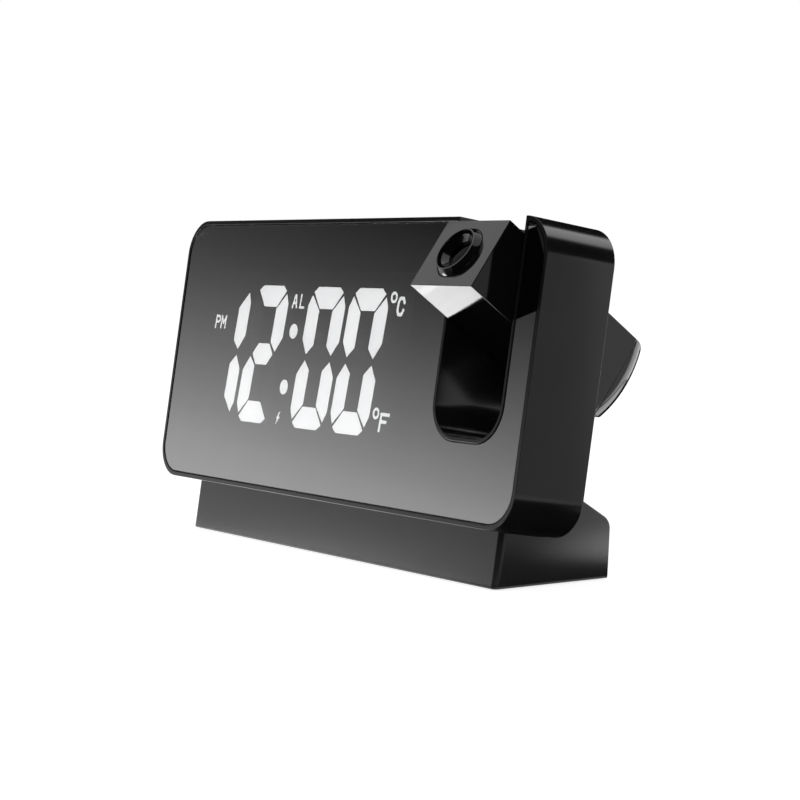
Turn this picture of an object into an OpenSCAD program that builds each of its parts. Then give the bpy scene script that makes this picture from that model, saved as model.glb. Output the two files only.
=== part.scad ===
// Projection alarm clock: a leaning case with a mirror display, a projector arm that swings
// through a slot in the case, and a weighted base.
// Millimetres, +Z up. The origin is the middle of the pad that the clock stands on, +X runs to
// the right of somebody who looks at the display, and the display faces -Y.
// "Case frame" means: x across, y into the case from its front rim, z up the face.
// "Arm frame" means: x across, y along the arm from its pivot to its round end, z up.

/* [Case] */
// Width of the case
case_w = 185; // [180:1:230]
// Height of the case, measured up its face
case_h = 80.8; // [78:0.2:110]
// Depth of the case from its front rim to its back
case_d = 22.2; // [22:0.1:30]
// Radius of the case's corners, seen from the front
case_r = 10.4; // [6:0.1:14]
// Wall of the case
case_wall = 2; // [1.6:0.1:2.6]
// Angle that the case leans back
case_tilt = 9.3; // [0:0.1:14]
// Height of the case's front lower edge above the table
case_lift = 16.6; // [14:0.1:24]
// Thickness of the rear cover
cover_t = 2; // [1.6:0.1:2.4]
// Gap round a part that is set into a recess
seat_gap = 0.15; // [0.1:0.05:0.3]

/* [Mirror panel] */
// Thickness of the smoked mirror panel
panel_t = 1.5; // [1:0.1:2]
// How far the panel lies below the front rim
panel_set = 0.2; // [0.1:0.1:0.6]
// Width of the rim round the panel
rim_w = 1.25; // [0.8:0.05:2.5]
// Width of the rim along the slot
slot_rim = 0.9; // [0.6:0.05:1.4]
// Thickness of the web behind the panel
web_t = 1.6; // [1.2:0.1:2.2]

/* [Display] */
// Height of a digit
digit_h = 41.5; // [30:0.5:44]
// Width of a digit
digit_w = 19.8; // [16:0.1:20]
// Width of a digit's strokes
stroke_w = 6.4; // [4:0.1:7]
// Gap between two segments of a digit
seg_gap = 0.9; // [0.5:0.1:1.4]
// Size of the cut on a digit's outer corners
corner_cut = 4.2; // [2:0.1:5]
// Angle that the digits lean to the right
digit_slant = 4.2; // [0:0.1:10]
// Distance from one digit to the next
digit_pitch = 21.8; // [21:0.1:23]
// Extra distance across the colon
colon_room = 9.2; // [7:0.1:11]
// Radius of a colon dot
dot_r = 2.2; // [1:0.1:3]
// Height of a colon dot above and below the middle
dot_rise = 8.3; // [6:0.1:11]
// How far the colon's middle lies below the digits' middle
colon_drop = 0.95; // [0:0.05:2]
// Offset of the colon to the side
colon_shift = -0.2; // [-1:0.1:1]
// Offset of the digits from the middle between the left wall and the slot
display_shift = -6.3; // [-8:0.1:0]
// Depth of the segment block
block_d = 7; // [5:0.1:8]
// Thickness of a lit segment's diffuser
diffuser_t = 2; // [1:0.1:3]

/* [Projector arm] */
// Width of the arm
arm_w = 27; // [22:0.1:33]
// Thickness of the arm
arm_t = 20.8; // [19:0.1:25]
// Distance from the pivot to the lens face
arm_front = 26.3; // [22:0.1:29]
// Radius of the arm's round end about the pivot
arm_end_r = 33.2; // [31:0.1:36]
// Rounding of the round end's edges
arm_edge_r = 5.4; // [3:0.1:6]
// How much deeper the arm's underside reaches at its round end
arm_flare = 3.2; // [0:0.1:4]
// Wall of the arm's housing
arm_wall = 1.8; // [1.4:0.1:2]
// Angle from straight out of the panel up to the lens axis, at rest
arm_rest = 27.2; // [0:0.1:60]
// Gap between the arm and each side of the slot
arm_side_gap = 0.9; // [0.7:0.1:3]
// Distance of the pivot below the top of the case
pivot_drop = 23.2; // [20:0.1:26]
// Distance of the pivot behind the middle of the case's depth
pivot_back = 3.4; // [2.4:0.1:3.4]
// Radius of the hollow pivot sleeve
sleeve_r = 4; // [3.2:0.1:4.5]
// Radius of the solid pivot pin
pin_r = 3; // [2:0.1:3.5]
// Radial clearance of the turning and sliding fits
run_gap = 0.06; // [0.03:0.01:0.1]

/* [Slot] */
// Distance from the case's right side to the slot
slot_edge = 10.7; // [9:0.1:14]
// Radius of the slot's lower corners
slot_r = 9.5; // [6:0.1:9.6]
// Clearance below the arm's round end as it swings past
slot_clear = 2; // [2:0.1:6]
// Wall round the slot
slot_wall = 1.8; // [1.4:0.1:2.2]

/* [Lens] */
// Radius of the focus ring at the lens face
focus_r = 7.6; // [6.5:0.1:8]
// Radius of the focus ring at its rim
focus_rim_r = 7; // [6:0.1:7.4]
// How far the focus ring stands out of the lens face
focus_out = 1.9; // [1.5:0.1:4.5]
// Outer radius of the sliding lens cell
cell_r = 5.4; // [4.6:0.1:5.8]
// Radius of the lenses
lens_r = 4.6; // [3.6:0.1:4.8]

/* [Keys] */
// Radius of a rear key
key_r = 3.4; // [2.5:0.1:4]
// Distance from one rear key to the next
key_pitch = 14; // [11:0.5:16]
// How far a rear key stands out of the cover
key_out = 0.9; // [0.4:0.1:1.6]
// Travel of a key
key_travel = 0.5; // [0.3:0.1:0.8]
// Length of the snooze bar
snooze_l = 46; // [30:1:70]
// Width of the snooze bar
snooze_w = 8.6; // [6:0.1:10]
// How far the snooze bar stands out of the top
snooze_out = 0.3; // [0.2:0.1:1.2]

/* [Base] */
// Width of the base
base_w = 158.6; // [140:1:178]
// Depth of the base at the table
base_d = 37.6; // [34:0.1:50]
// Distance of the base's front behind the case's front, at the table
base_recess = 5.1; // [2:0.1:8]
// Wall of the base
base_wall = 2; // [1.6:0.1:2.6]
// Height that the base reaches up the back of the case
base_back_h = 15; // [10:0.5:17]
// Angle of the slope behind the case
base_slope = 32; // [20:1:40]
// Rounding between the slope and the back
base_round = 4; // [2:0.5:6]
// Rounding of the base's front upright edges
base_edge_r = 1.8; // [0.5:0.1:2]
// How far the back leans out from bottom to top
base_bulge = 0.9; // [0:0.1:3]
// Thickness of the bottom plate
plate_t = 2.4; // [2:0.1:3]
// Thickness of the non-slip pad
pad_t = 1.2; // [1:0.1:1.6]
// How far the pad stands out below the base
pad_out = 0.4; // [0.3:0.1:0.6]

/* [Hidden] */
$fn = 72;
over = 1; // cutters reach this far past what they cut

// Slot and pivot, in the case frame
slot_w = arm_w + 2 * arm_side_gap;
slot_cx = case_w / 2 - slot_edge - slot_w / 2;
slot_left = slot_cx - slot_w / 2;
slot_right = slot_cx + slot_w / 2;
pivot_z = case_h - pivot_drop;
pivot_y = case_d / 2 + pivot_back;
slot_floor = pivot_z - arm_end_r - slot_clear;

// Layers of the case, as depths behind its front rim
web_y = panel_set + panel_t;
cavity_y = web_y + web_t;
stack_gap = 0.05;
block_y = web_y + stack_gap;
led_board_y = block_y + block_d;
board_t = 1.6;
cover_y = case_d - cover_t;
rear_room = 4;
main_y = cover_y - rear_room - board_t;
main_back = main_y + board_t;

// Display block and boards
display_cx = (slot_left - case_w / 2) / 2 + display_shift;
display_cz = case_h / 2;
DIGIT_X = [-digit_pitch - colon_room / 2 - digit_pitch / 2, -colon_room / 2 - digit_pitch / 2,
    colon_room / 2 + digit_pitch / 2, colon_room / 2 + 1.5 * digit_pitch];
block_w = 112;
block_h = 50;
block_cx = display_cx + 4.5;
board_w = block_w + 4;
board_h = block_h + 10;
board_x0 = block_cx - board_w / 2;
board_x1 = block_cx + board_w / 2;
board_z0 = display_cz - board_h / 2;
board_z1 = display_cz + board_h / 2;
post_dx = block_w / 2 - 6;
post_dz = block_h / 2 + 2.7;
post_r = 2.2;
POSTS = [for (x = [-post_dx, post_dx], z = [-post_dz, post_dz]) [block_cx + x, display_cz + z]];

// Screws: shank radius, head radius and head height
screw_r = 0.95;
screw_head_r = 1.9;
screw_head_h = 1.2;
screw_gap = 0.05;
head_sink = 0.1;
boss_r = 2.9;
cover_screw_in = 8;
cover_screw_l = 9;
strip_boss_r = 2.4;
strip_x = (slot_right + slot_wall + case_w / 2 - case_wall) / 2;
COVER_SCREWS = [[cover_screw_in - case_w / 2, cover_screw_in],
    [cover_screw_in - case_w / 2, case_h - cover_screw_in],
    [slot_left - slot_wall - cover_screw_in, case_h - cover_screw_in],
    [slot_left - slot_wall - cover_screw_in, cover_screw_in],
    [case_w / 2 - cover_screw_in, cover_screw_in]];
STRIP_SCREW = [strip_x, case_h - case_r - strip_boss_r];

// Rear keys, battery bay, buzzer and sockets, in the case frame
key_hole_gap = 0.3;
key_flange = 1;
key_flange_t = 0.7;
keys_z = display_cz + 24;
keys_x = block_cx - 3 * key_pitch;
function key_x(i) = keys_x + i * key_pitch;
switch_s = 6;
switch_t = cover_y - main_back - key_flange_t - key_hole_gap - key_travel - 0.7;
plunger_r = 1.2;
plunger_t = 0.6;
coin_r = 10;
coin_t = 3.2;
coin_x = block_cx - 38;
coin_z = display_cz - 8;
door_w = 26;
door_tab_r = 3;
door_h = 24;
door_t = 1.6;
door_pin_r = 0.6;
door_pin_l = 1.2;
door_gap = 0.3;
door_y = case_d - cover_t / 2;
door_z0 = coin_z - door_h / 2;
door_axis_z = door_z0 + door_t / 2;
buzzer_r = 6;
buzzer_x = block_cx + 30;
buzzer_z = display_cz;
sensor_r = 1.1;
sensor_h = 2.2;
sensor_x = buzzer_x;
sensor_z = buzzer_z - buzzer_r - sensor_r - 0.6;
sound_slots = 5;
sound_slot_w = 1.4;
sound_slot_pitch = 3;
port_room = 7.4;
port_board_x = slot_left - slot_wall - 0.5 - port_room - board_t;
port_face = port_board_x + board_t;
usb_w = 5.7;
usb_h = 13.1;
usb_l = 14;
usb_z = display_cz - 14;
usb_wall = 0.5;
jack_s = 7;
jack_l = 12;
jack_z = display_cz + 6;
jack_hole_r = 2.1;
jack_pin_r = 0.8;

// Snooze bar, in the case frame
snooze_cx = block_cx;
snooze_flange = 1.2;
snooze_flange_t = 0.8;
snooze_stem_y = led_board_y + board_t + 2;
snooze_stem_r = 1.5;
snooze_switch_z = board_z1 - 4.5;

// Arm frame
hub_gap = 0.35;
hub_r = 7.5;
hub_x = arm_w / 2 + arm_side_gap - hub_gap;
face_t = 2;
cap_y = arm_end_r - 6.8;
inner_x = arm_w / 2 - arm_wall;
inner_z = arm_t / 2 - arm_wall;
wall_in = slot_w / 2;
wall_out = wall_in + slot_wall;
washer_t = 0.5;
washer_gap = 0.1;
flange_x = wall_out + washer_gap + washer_t;
flange_t = 1;
flange_step = 1.6;
face_y = -arm_front;
focus_flange_t = 1.2;
focus_back = face_y + face_t + washer_gap + focus_flange_t;
guide_y = focus_back + 0.2;
guide_l = 6.5;
guide_flange = 2;
focus_travel = 1.2;
cell_front = face_y - 1.2;
cell_back = guide_y + guide_l + 0.5;
lamp_y = cell_back + focus_travel + 0.6;
lamp_s = 16.8;
lamp_l = 11.4;
mask_s = 13;
mask_t = 1.1;
cond_r = 6.4;
cond_t = 3;
lamp_board_y = lamp_y + lamp_l;
lamp_board_gap = 0.7;
lamp_board_w = 2 * (inner_x - lamp_board_gap);
led_s = 3.5;
led_t = 0.7;
sink_s = 15.6;
sink_base = 1.5;
fin_l = 6;
fins = 5;
fin_t = 1;
lead_r = 0.9;
plug_s = 4;
plug_gap = 0.3;
lead_start = -flange_x - flange_t - 1.2;
lead_x = -10;

// Base, in a vertical section: [y, z]
base_front = -base_d / 2;
case_y = base_front - base_recess;
function to_table(v, u) = [case_y + v * cos(case_tilt) + u * sin(case_tilt),
    case_lift + u * cos(case_tilt) - v * sin(case_tilt)];
base_front_v = base_recess * cos(case_tilt) + (case_lift - pad_out) * sin(case_tilt);
base_top = to_table(case_d, base_back_h);
base_back = base_d / 2 + base_bulge;
base_knee = base_top[1] - (base_back - base_top[0]) * tan(base_slope);
BASE_OUTLINE = [[base_front, pad_out], to_table(base_front_v, 0), to_table(case_d, 0), base_top,
    [base_back, base_knee], [base_d / 2, pad_out]];
plate_gap = 0.6;
pad_w = 140;
pad_d = 22;
base_screw_x = base_w / 2 - 6.5;
base_screw_y = base_d / 2 - 6.5;
ballast_w = 110;
ballast_d = 17;
ballast_h = 7;
cradle_x = 50;
cradle_v = 12;
cradle_boss_h = 5;
cradle_screw_l = 6;

// ---------------------------------------------------------------- frames and helpers

// Puts case-frame children where the case leans on its base
module leaned() translate([0, case_y, case_lift]) rotate([-case_tilt, 0, 0]) children();

// Puts arm-frame children on the pivot, at the arm's rest angle
module armed() leaned() translate([slot_cx, pivot_y, pivot_z]) rotate([-arm_rest, 0, 0]) children();

// Extrudes a front view, drawn in x and z, from depth y0 to depth y1
module plate(y0, y1) translate([0, y1, 0]) rotate([90, 0, 0]) linear_extrude(y1 - y0) children();

// Box between two corners
module box(a, b) translate(a) cube(b - a);

// Round bars along one axis
module bar_x(y, z, r, x0, x1) translate([x0, y, z]) rotate([0, 90, 0]) cylinder(r = r, h = x1 - x0);
module bar_y(x, z, r, y0, y1) translate([x, y0, z]) rotate([-90, 0, 0]) cylinder(r = r, h = y1 - y0);
module bar_z(x, y, r, z0, z1) translate([x, y, z0]) cylinder(r = r, h = z1 - z0);

// Rectangle from one corner to the other with round corners
module round_rect(x0, z0, x1, z1, r) {
    translate([x0 + r, z0]) square([x1 - x0 - 2 * r, z1 - z0]);
    translate([x0, z0 + r]) square([x1 - x0, z1 - z0 - 2 * r]);
    for (x = [x0 + r, x1 - r], z = [z0 + r, z1 - r]) translate([x, z]) circle(r);
}

// Front view of the case, drawn in by a distance
module case_outline(inset)
    round_rect(inset - case_w / 2, inset, case_w / 2 - inset, case_h - inset, case_r - inset);

// Front view of the slot, widened by a distance, open at the top
module slot_outline(grow) difference() {
    round_rect(slot_left - grow, slot_floor - grow, slot_right + grow,
        case_h + 2 * slot_r, slot_r + grow);
    translate([slot_left - slot_r, case_h + over]) square([slot_w + 2 * slot_r, 4 * slot_r]);
}

// Self-tapping screw along y: its head ends at y_head and its shank runs towards the front
module screw_y(x, z, y_head, shank_l) {
    bar_y(x, z, screw_head_r, y_head - screw_head_h, y_head);
    bar_y(x, z, screw_r, y_head - screw_head_h - shank_l, y_head - screw_head_h);
}

function unit(v) = v / norm(v);

// Arc that rounds the corner b of a path a, b, c with radius r, as n + 1 points
function round_corner(a, b, c, r, n) = let(u = unit(a - b), w = unit(c - b),
    half = acos(u * w) / 2, m = b + unit(u + w) * r / sin(half), t = r / tan(half),
    s = b + u * t - m, e = b + w * t - m, sweep = 180 - 2 * half)
    [for (i = [0:n]) m + (s * sin(sweep * (n - i) / n) + e * sin(sweep * i / n)) / sin(sweep)];

// Left normal of the edge from a to b, and a closed outline moved inwards by k
function left_of(a, b) = let(d = unit(b - a)) [-d[1], d[0]];
function inset_outline(p, k) = let(n = len(p)) [for (i = [0:n - 1])
    let(n1 = left_of(p[(i + n - 1) % n], p[i]), n2 = left_of(p[i], p[(i + 1) % n]))
    p[i] - (n1 + n2) * k / (1 + n1 * n2)];

// ---------------------------------------------------------------- display shapes

half_w = digit_w / 2;
half_h = digit_h / 2;
inner_w = half_w - stroke_w;
corner_drop = 0.36 * corner_cut;

// Segments as points about the digit's middle: top bar, upper right bar and middle bar
TOP_BAR = [[corner_cut - half_w, half_h], [half_w - corner_cut, half_h],
    [half_w - corner_cut / 2, half_h - corner_drop], [inner_w, half_h - stroke_w],
    [-inner_w, half_h - stroke_w], [corner_cut / 2 - half_w, half_h - corner_drop]];
SIDE_BAR = [[inner_w, half_h - stroke_w - 0.7 * seg_gap],
    [half_w - corner_cut / 2 + seg_gap / 2, half_h - corner_drop - seg_gap],
    [half_w, half_h - 1.3 * corner_cut], [half_w, stroke_w * 0.8],
    [half_w - stroke_w / 2, seg_gap], [inner_w, (stroke_w + seg_gap) / 2]];
MID_BAR = [for (s = [[-1, 1], [1, 1], [1.9, 0], [1, -1], [-1, -1], [-1.9, 0]])
    [s[0] * (inner_w - seg_gap / 2), s[1] * stroke_w / 2]];

// Points of segment s, counted clockwise from the top bar with the middle bar last
function flipped(p, sx, sz) = [for (q = p) [q[0] * sx, q[1] * sz]];
function segment(s) = s == 0 ? TOP_BAR : s == 1 ? SIDE_BAR : s == 2 ? flipped(SIDE_BAR, 1, -1)
    : s == 3 ? flipped(TOP_BAR, 1, -1) : s == 4 ? flipped(SIDE_BAR, -1, -1)
    : s == 5 ? flipped(SIDE_BAR, -1, 1) : MID_BAR;

// Middles of the segments, and which segments show 12:00
SEGMENT_MIDDLE = [[0, half_h - stroke_w / 2], [half_w - stroke_w / 2, half_h / 2],
    [half_w - stroke_w / 2, -half_h / 2], [0, stroke_w / 2 - half_h],
    [stroke_w / 2 - half_w, -half_h / 2], [stroke_w / 2 - half_w, half_h / 2], [0, 0]];
SHOWN = [[1, 2], [0, 1, 3, 4, 6], [0, 1, 2, 3, 4, 5], [0, 1, 2, 3, 4, 5]];
function is_lit(d, s) = len(search(s, SHOWN[d])) > 0;

// Leans points over and moves them to a place in the case frame
function placed(p, at) = [for (q = p) [at[0] + q[0] + q[1] * tan(digit_slant), at[1] + q[1]]];

// The first digit has only the two segments of a 1
function is_fitted(d, s) = d > 0 || is_lit(d, s);

module segments(lit) for (d = [0:3], s = [0:6]) if (is_fitted(d, s) && is_lit(d, s) == lit)
    polygon(placed(segment(s), [display_cx + DIGIT_X[d], display_cz]));

module colon() for (s = [-1, 1])
    translate([display_cx + colon_shift + s * dot_rise * tan(digit_slant),
        display_cz - colon_drop + s * dot_rise]) circle(dot_r);

// A line of even width through a list of points, with round ends a touch wider than the line
end_swell = 0.03;
module strokes(p, w) for (i = [0:len(p) - 2]) {
    a = p[i];
    d = p[i + 1] - a;
    translate(a) {
        rotate(atan2(d[1], d[0])) translate([0, -w / 2]) square([norm(d), w]);
        circle(w / 2 + end_swell, $fn = 24);
        translate(d) circle(w / 2 + end_swell, $fn = 24);
    }
}

// Letters on a grid that is one unit high
LETTER_P = [[0, 0], [0, 1], [0.45, 1], [0.6, 0.86], [0.6, 0.62], [0.45, 0.5], [0, 0.5]];
LETTER_M = [[0, 0], [0, 1], [0.34, 0.4], [0.68, 1], [0.68, 0]];
LETTER_A = [[0, 0], [0.26, 0.98], [0.36, 0.98], [0.62, 0]];
LETTER_A_BAR = [[0.1, 0.34], [0.52, 0.34]];
LETTER_L = [[0, 1], [0, 0], [0.56, 0]];
LETTER_C = [[0.62, 0.74], [0.48, 1], [0.14, 1], [0, 0.76], [0, 0.24], [0.14, 0], [0.48, 0],
    [0.62, 0.26]];
LETTER_F = [[0, 0], [0, 1], [0.82, 1]];
LETTER_F_BAR = [[0, 0.54], [0.58, 0.54]];
BOLT = [[-0.3, -1], [0.6, 0.2], [0.16, 0.2], [0.5, 1], [0.2, 1], [-0.55, -0.14], [-0.1, -0.14],
    [-0.45, -1]];
small_h = 3.6;
small_w = 0.7;
unit_h = 4.5;
unit_w = 0.95;
degree_r = 1.65;
degree_w = 0.8;
bolt_h = 1.8;

// A letter of height h whose lower left corner is at a point measured from the display's middle
module letter(p, h, w, at) strokes(placed(p * h, [display_cx, display_cz] + at), w);

module degree(at) translate([display_cx, display_cz] + at) difference() {
    circle(degree_r, $fn = 36);
    circle(degree_r - degree_w, $fn = 36);
}

module symbols() {
    letter(LETTER_P, small_h, small_w, [-45.95, 7.2]);
    letter(LETTER_M, small_h, small_w, [-42.6, 7.2]);
    letter(LETTER_A, small_h, small_w, [-2.1, 14.5]);
    letter(LETTER_A_BAR, small_h, small_w, [-2.1, 14.5]);
    letter(LETTER_L, small_h, small_w, [2.1, 14.5]);
    degree([50.6, 18.4]);
    letter(LETTER_C, unit_h, unit_w, [52.9, 13.7]);
    degree([49.3, -14]);
    letter(LETTER_F, unit_h, unit_w, [51.7, -18.6]);
    letter(LETTER_F_BAR, unit_h, unit_w, [51.7, -18.6]);
    polygon(placed(BOLT * bolt_h, [display_cx - 1.9, display_cz - 18.5]));
}

// ---------------------------------------------------------------- case

module case_shell() color("#1c1c1e") leaned() difference() {
    union() {
        difference() {
            plate(0, case_d) case_outline(0);
            plate(cavity_y, case_d + over) difference() {
                case_outline(case_wall);
                slot_outline(slot_wall);
            }
        }
        for (p = COVER_SCREWS) bar_y(p[0], p[1], boss_r, cavity_y, cover_y - stack_gap);
        bar_y(STRIP_SCREW[0], STRIP_SCREW[1], strip_boss_r, cavity_y, cover_y - stack_gap);
        for (p = POSTS) bar_y(p[0], p[1], post_r, cavity_y, led_board_y - stack_gap);
        for (x = [-cradle_x, cradle_x])
            bar_z(x, cradle_v, boss_r, case_wall, case_wall + cradle_boss_h);
    }
    plate(-over, web_y) difference() {
        case_outline(rim_w);
        slot_outline(slot_rim);
    }
    plate(-over, case_d + over) slot_outline(0);
    box([block_cx - block_w / 2 - seat_gap, 0, display_cz - block_h / 2 - seat_gap],
        [block_cx + block_w / 2 + seat_gap, cavity_y + over, display_cz + block_h / 2 + seat_gap]);
    for (p = concat(COVER_SCREWS, [STRIP_SCREW]))
        bar_y(p[0], p[1], screw_r + screw_gap, cover_y - cover_screw_l, case_d);
    for (p = POSTS) bar_y(p[0], p[1], screw_r + screw_gap, cavity_y, case_d);
    bar_x(pivot_y, pivot_z, sleeve_r + run_gap, slot_left - slot_wall - over, slot_left + over);
    bar_x(pivot_y, pivot_z, pin_r + run_gap, slot_right - over, slot_right + slot_wall + over);
    for (x = [-cradle_x, cradle_x])
        bar_z(x, cradle_v, screw_r + screw_gap, -over, case_wall + cradle_boss_h + over);
    translate([snooze_cx, case_d / 2, case_h - case_wall - over])
        pill(snooze_l + 2 * key_hole_gap, snooze_w + 2 * key_hole_gap, case_wall + 2 * over);
}

// Bar with round ends, lying along x, with its foot at z = 0
module pill(l, w, h) linear_extrude(h) {
    square([l - w, w], center = true);
    for (x = [w - l, l - w]) translate([x / 2, 0]) circle(w / 2);
}

module mirror_panel() color("#4a4a4c", 0.85) leaned() plate(panel_set, web_y) difference() {
    case_outline(rim_w + seat_gap);
    slot_outline(slot_rim + seat_gap);
}

module segment_block() color("#101010") leaned() difference() {
    box([block_cx - block_w / 2, block_y, display_cz - block_h / 2],
        [block_cx + block_w / 2, led_board_y, display_cz + block_h / 2]);
    plate(block_y - over, led_board_y + over) {
        segments(true);
        segments(false);
        colon();
    }
    plate(block_y - over, block_y + diffuser_t) symbols();
}

module lit_segments() color("#e4e4e4") leaned() plate(block_y, block_y + diffuser_t) {
    segments(true);
    colon();
}

module unlit_segments() color("#3a3a3a") leaned() plate(block_y, block_y + diffuser_t) segments(false);

module symbol_lights() color("#e4e4e4") leaned() plate(block_y, block_y + diffuser_t) symbols();

led_chip = [2, 0.7, 1.2];

module display_leds() color("#f0e6a0") leaned()
    for (d = [0:3], s = [0:6]) if (is_fitted(d, s))
        let(p = placed([SEGMENT_MIDDLE[s]], [display_cx + DIGIT_X[d], display_cz])[0])
            translate([p[0] - led_chip[0] / 2, led_board_y - led_chip[1], p[1] - led_chip[2] / 2])
                cube(led_chip);

module drilled_board(y) difference() {
    box([board_x0, y, board_z0], [board_x1, y + board_t, board_z1]);
    for (p = POSTS) bar_y(p[0], p[1], screw_r + screw_gap, y - over, y + board_t + over);
}

module display_board() color("#1f4a2c") leaned() drilled_board(led_board_y);

module board_spacers() color("#d8d8d0") leaned() for (p = POSTS) difference() {
    bar_y(p[0], p[1], post_r, led_board_y + board_t, main_y);
    bar_y(p[0], p[1], screw_r + screw_gap, led_board_y, main_back);
}

module main_board() color("#1f4a2c") leaned() {
    drilled_board(main_y);
    box([board_x1, main_y, jack_z - jack_s], [port_board_x, main_back, jack_z + jack_s]);
}

chip_t = 1.2;

module board_chips() color("#222222") leaned() for (c = [[-6, 2, 9], [-6, -14, 5], [10, -16, 6]])
    box([block_cx + c[0], main_back, display_cz + c[1]],
        [block_cx + c[0] + c[2], main_back + chip_t, display_cz + c[1] + c[2]]);

module board_link() color("#202020") leaned()
    box([block_cx - 12, led_board_y + board_t, display_cz - 16],
        [block_cx + 12, main_y, display_cz - 13.5]);

module board_screws() color("#b8bcc0") leaned() for (p = POSTS)
    screw_y(p[0], p[1], main_back + screw_head_h, main_back - cavity_y - stack_gap);

module key_switches() color("#c9ccd0") leaned() for (i = [0:4]) {
    box([key_x(i) - switch_s / 2, main_back, keys_z - switch_s / 2],
        [key_x(i) + switch_s / 2, main_back + switch_t, keys_z + switch_s / 2]);
    bar_y(key_x(i), keys_z, plunger_r, main_back + switch_t, main_back + switch_t + plunger_t);
}

module snooze_switch() color("#c9ccd0") leaned() {
    box([snooze_cx - switch_s / 2, led_board_y + board_t + stack_gap, snooze_switch_z],
        [snooze_cx + switch_s / 2, main_y, board_z1]);
    bar_z(snooze_cx, snooze_stem_y, plunger_r, board_z1, board_z1 + plunger_t);
}

holder_wall = 1;
holder_gap = 0.3;

module cell_holder() color("#2a2a2a") leaned() difference() {
    bar_y(coin_x, coin_z, coin_r + holder_gap + holder_wall, main_back, main_back + coin_t / 2);
    bar_y(coin_x, coin_z, coin_r + holder_gap, main_back + 0.4, cover_y);
}

module coin_cell() color("#c8c8c8") leaned()
    bar_y(coin_x, coin_z, coin_r, main_back + 0.4, main_back + 0.4 + coin_t);

module buzzer() color("#181818") leaned() difference() {
    bar_y(buzzer_x, buzzer_z, buzzer_r, main_back, cover_y - 0.3);
    bar_y(buzzer_x, buzzer_z, 1.2, cover_y - 1.5, cover_y);
}

// Sockets stand on their own board, which runs from front to back beside the slot wall
port_y0 = cavity_y + 1.5;

module temperature_sensor() color("#c8a060") leaned()
    bar_y(sensor_x, sensor_z, sensor_r, main_back, main_back + sensor_h);

module port_board() color("#1f4a2c") leaned()
    box([port_board_x, port_y0, usb_z - usb_h], [port_face, cover_y - 0.6, pivot_z + 5]);

// The shell of the charging socket, with the contact tongue inside
module charging_socket() color("#b9bdc2") leaned() {
    difference() {
        box([port_face, case_d - usb_l, usb_z - usb_h / 2],
            [port_face + usb_w, case_d - 0.1, usb_z + usb_h / 2]);
        box([port_face + usb_wall, case_d - usb_l + 2, usb_z - usb_h / 2 + usb_wall],
            [port_face + usb_w - usb_wall, case_d + over, usb_z + usb_h / 2 - usb_wall]);
    }
    box([port_face + 1, case_d - usb_l + 1, usb_z - usb_h / 2 + 1.6],
        [port_face + 2.8, case_d - 2, usb_z + usb_h / 2 - 1.6]);
}

module power_socket() color("#161616") leaned() {
    difference() {
        box([port_face, case_d - jack_l, jack_z - jack_s / 2],
            [port_face + jack_s, case_d - 0.1, jack_z + jack_s / 2]);
        bar_y(port_face + jack_s / 2, jack_z, jack_hole_r, case_d - jack_l + 2, case_d + over);
    }
    bar_y(port_face + jack_s / 2, jack_z, jack_pin_r, case_d - jack_l + 1, case_d - 1.5);
}

module lead_plug() color("#e8e4d8") leaned()
    box([port_face, pivot_y - plug_s / 2, pivot_z - plug_s / 2],
        [slot_cx + lead_start - plug_gap, pivot_y + plug_s / 2, pivot_z + plug_s / 2]);

// Cut-out of the battery door, a finger notch included
module door_opening(gap) {
    translate([coin_x - door_w / 2 - gap, door_z0 - gap])
        square([door_w + 2 * gap, door_h + 2 * gap]);
    translate([coin_x, door_z0 + door_h]) circle(door_tab_r + gap);
}

module rear_cover() color("#1a1a1c") leaned() difference() {
    plate(cover_y, case_d) difference() {
        case_outline(case_wall + seat_gap);
        slot_outline(slot_wall + seat_gap);
    }
    for (p = concat(COVER_SCREWS, [STRIP_SCREW])) {
        bar_y(p[0], p[1], screw_r + 0.25, cover_y - over, case_d + over);
        bar_y(p[0], p[1], screw_head_r + 0.2, case_d - screw_head_h - head_sink, case_d + over);
    }
    for (i = [0:4]) bar_y(key_x(i), keys_z, key_r + key_hole_gap, cover_y - over, case_d + over);
    plate(cover_y - over, case_d + over) door_opening(door_gap);
    bar_x(door_y, door_axis_z, door_pin_r + run_gap,
        coin_x - door_w / 2 - door_gap - door_pin_l - 0.2,
        coin_x + door_w / 2 + door_gap + door_pin_l + 0.2);
    box([port_face - 0.2, cover_y - over, usb_z - usb_h / 2 - 0.2],
        [port_face + usb_w + 0.2, case_d + over, usb_z + usb_h / 2 + 0.2]);
    box([port_face - 0.2, cover_y - over, jack_z - jack_s / 2 - 0.2],
        [port_face + jack_s + 0.2, case_d + over, jack_z + jack_s / 2 + 0.2]);
    for (i = [0:sound_slots - 1]) let(z = buzzer_z + (i - (sound_slots - 1) / 2) * sound_slot_pitch)
        plate(cover_y - over, case_d + over)
            round_rect(buzzer_x - buzzer_r, z - sound_slot_w / 2, buzzer_x + buzzer_r,
                z + sound_slot_w / 2, sound_slot_w / 2 - 0.05);
}

module cover_screws() color("#8e9296") leaned() for (p = concat(COVER_SCREWS, [STRIP_SCREW]))
    screw_y(p[0], p[1], case_d - head_sink, cover_screw_l - cover_t + screw_head_h);

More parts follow.
